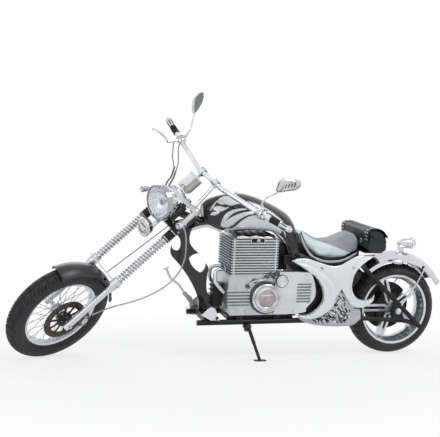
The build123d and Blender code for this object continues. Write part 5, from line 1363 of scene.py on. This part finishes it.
def small_pieces():
    # the lever's blade, with its ball end
    blade = curve_through([(40, -384, 1070), (43, -412, 1074), (46, -440, 1076), (50, -480, 1072),
                           (54, -514, 1065)], 6)
    taper = [8.4 - 2.4 * k / (len(blade) - 1) for k in range(len(blade))]
    ball = lathe([(0, -9), (4.6, -7.6), (8, -4), (9, 0), (8, 4), (4.6, 7.6), (0, 9)], 24,
                 axis_frame((54.4, -519, 1064), (0.1, -1, -0.15)))
    put("brake_lever_blade", [sweep(blade, taper, 14), ball], "chrome", "fork", smooth=50)
    sleeves = [[(8, -240, 996), (26, -190, 942), (56, -158, 906), (80, -126, 878)],
               [(4, -214, 984), (22, -172, 940), (46, -138, 898), (70, -104, 872)]]
    put("cable_sleeves", [sweep(curve_through(line, 8), 5.4, 14) for line in sleeves], "loom_grey", "fork",
        smooth=50)
    plug = lathe([(0, 7), (17, 7), (19, 5), (19, -1), (0, -1)], 36, axis_frame((-61, 90, 66), (0, 1, 0)))
    put("caliper_bolts", side_bolts([(-46, 90, 86), (-76, 90, 46)], 7, 5, [1]) + [plug], "dull_chrome", "fork",
        bevel=0.4)


lamp_pieces()
horn_pieces()
gauge_pieces()
clamp_pieces()
for hand, name in HANDS:
    grip_pieces(hand, name)
for hand, name in HANDS:
    mirror_pieces(hand, name)
softened("handlebar", "bar_chrome", 0.6)
softened("bar_risers", "bar_chrome", 1.2)
softened("upper_clamp", "chrome", 1.8)
softened("lower_clamp", "black_satin", 1.6)
softened("brake_caliper", "dark_cast", 1.6)
shade_gauge(softened("speedometer", ("reflection_brown_chrome", "bar_chrome"), 0.8))
small_pieces()
softened("side_stand", "black_satin", 1.2)
softened("battery_box", "black_satin", 2)


# ---------------------------------------------------------------- stage and light
# in metres: the floor's half width, then each lamp's name, place, size and watts
FLOOR = 30
LAMPS = (("key", (-2.2, 3.0, 4.2), 2.0, 96), ("fill", (3.4, 3.2, 1.8), 2.6, 14),
         ("back", (0.4, -3.4, 3.4), 2.6, 44))
AIM = Vector((0, 0, 0.5))


def math_node(t, operation, a, b):
    node = t.nodes.new("ShaderNodeMath")
    node.operation = operation
    t.links.new(a, node.inputs[0])
    t.links.new(b, node.inputs[1])
    return node.outputs[0]


def seen_ray(t):
    """1 for the rays that see the backdrop: the camera's, and those off metal and through glass."""
    path = t.nodes.new("ShaderNodeLightPath")
    seen = path.outputs["Is Camera Ray"]
    for name in ("Is Glossy Ray", "Is Transmission Ray"):
        seen = math_node(t, "MAXIMUM", seen, path.outputs[name])
    return seen


def blend_shaders(t, share, a, b, surface):
    blend = new_node(t, "MixShader", Fac=share)
    t.links.new(a.outputs[0], blend.inputs[1])
    t.links.new(b.outputs[0], blend.inputs[2])
    t.links.new(blend.outputs[0], surface.inputs["Surface"])


def set_floor():
    """A white floor that glows where rays see it, and more so far from the object."""
    mesh = bpy.data.meshes.new("floor")
    mesh.from_pydata([(-FLOOR, -FLOOR, 0), (FLOOR, -FLOOR, 0), (FLOOR, FLOOR, 0), (-FLOOR, FLOOR, 0)], [],
                     [(0, 1, 2, 3)])
    m, t, shader = new_mat("floor_white", Base_Color=(0.94, 0.94, 0.94, 1), Roughness=0.9, Specular_IOR_Level=0.1)
    far = t.nodes.new("ShaderNodeVectorMath")
    far.operation = "LENGTH"
    t.links.new(new_node(t, "TexCoord").outputs["Object"], far.inputs[0])
    share = math_node(t, "MULTIPLY", ramp(t, far.outputs["Value"], 1.1, 2.6, 0.72, 1.0), seen_ray(t))
    glow = new_node(t, "Emission", Color=(1, 1, 1, 1), Strength=1.0)
    blend_shaders(t, share, shader, glow, t.nodes["Material Output"])
    mesh.materials.append(m)
    add_object("floor", mesh)


def set_world():
    world = bpy.data.worlds.new("studio")
    bpy.context.scene.world = world
    world.use_nodes = True
    t = world.node_tree
    dim = t.nodes["Background"]
    dim.inputs["Color"].default_value = (0.95, 0.97, 1.0, 1)
    dim.inputs["Strength"].default_value = 0.5
    white = new_node(t, "Background", Color=(1, 1, 1, 1), Strength=1.0)
    blend_shaders(t, seen_ray(t), dim, white, t.nodes["World Output"])


def set_lamps():
    for name, place, size, watts in LAMPS:
        lamp = bpy.data.lights.new(name, "AREA")
        lamp.size = size
        lamp.energy = watts
        obj = add_object(name, lamp)
        obj.location = place
        obj.rotation_mode = "QUATERNION"
        obj.rotation_quaternion = (AIM - Vector(place)).to_track_quat("-Z", "Y")


set_floor()
set_world()
set_lamps()
bpy.context.scene.view_settings.view_transform = "Standard"
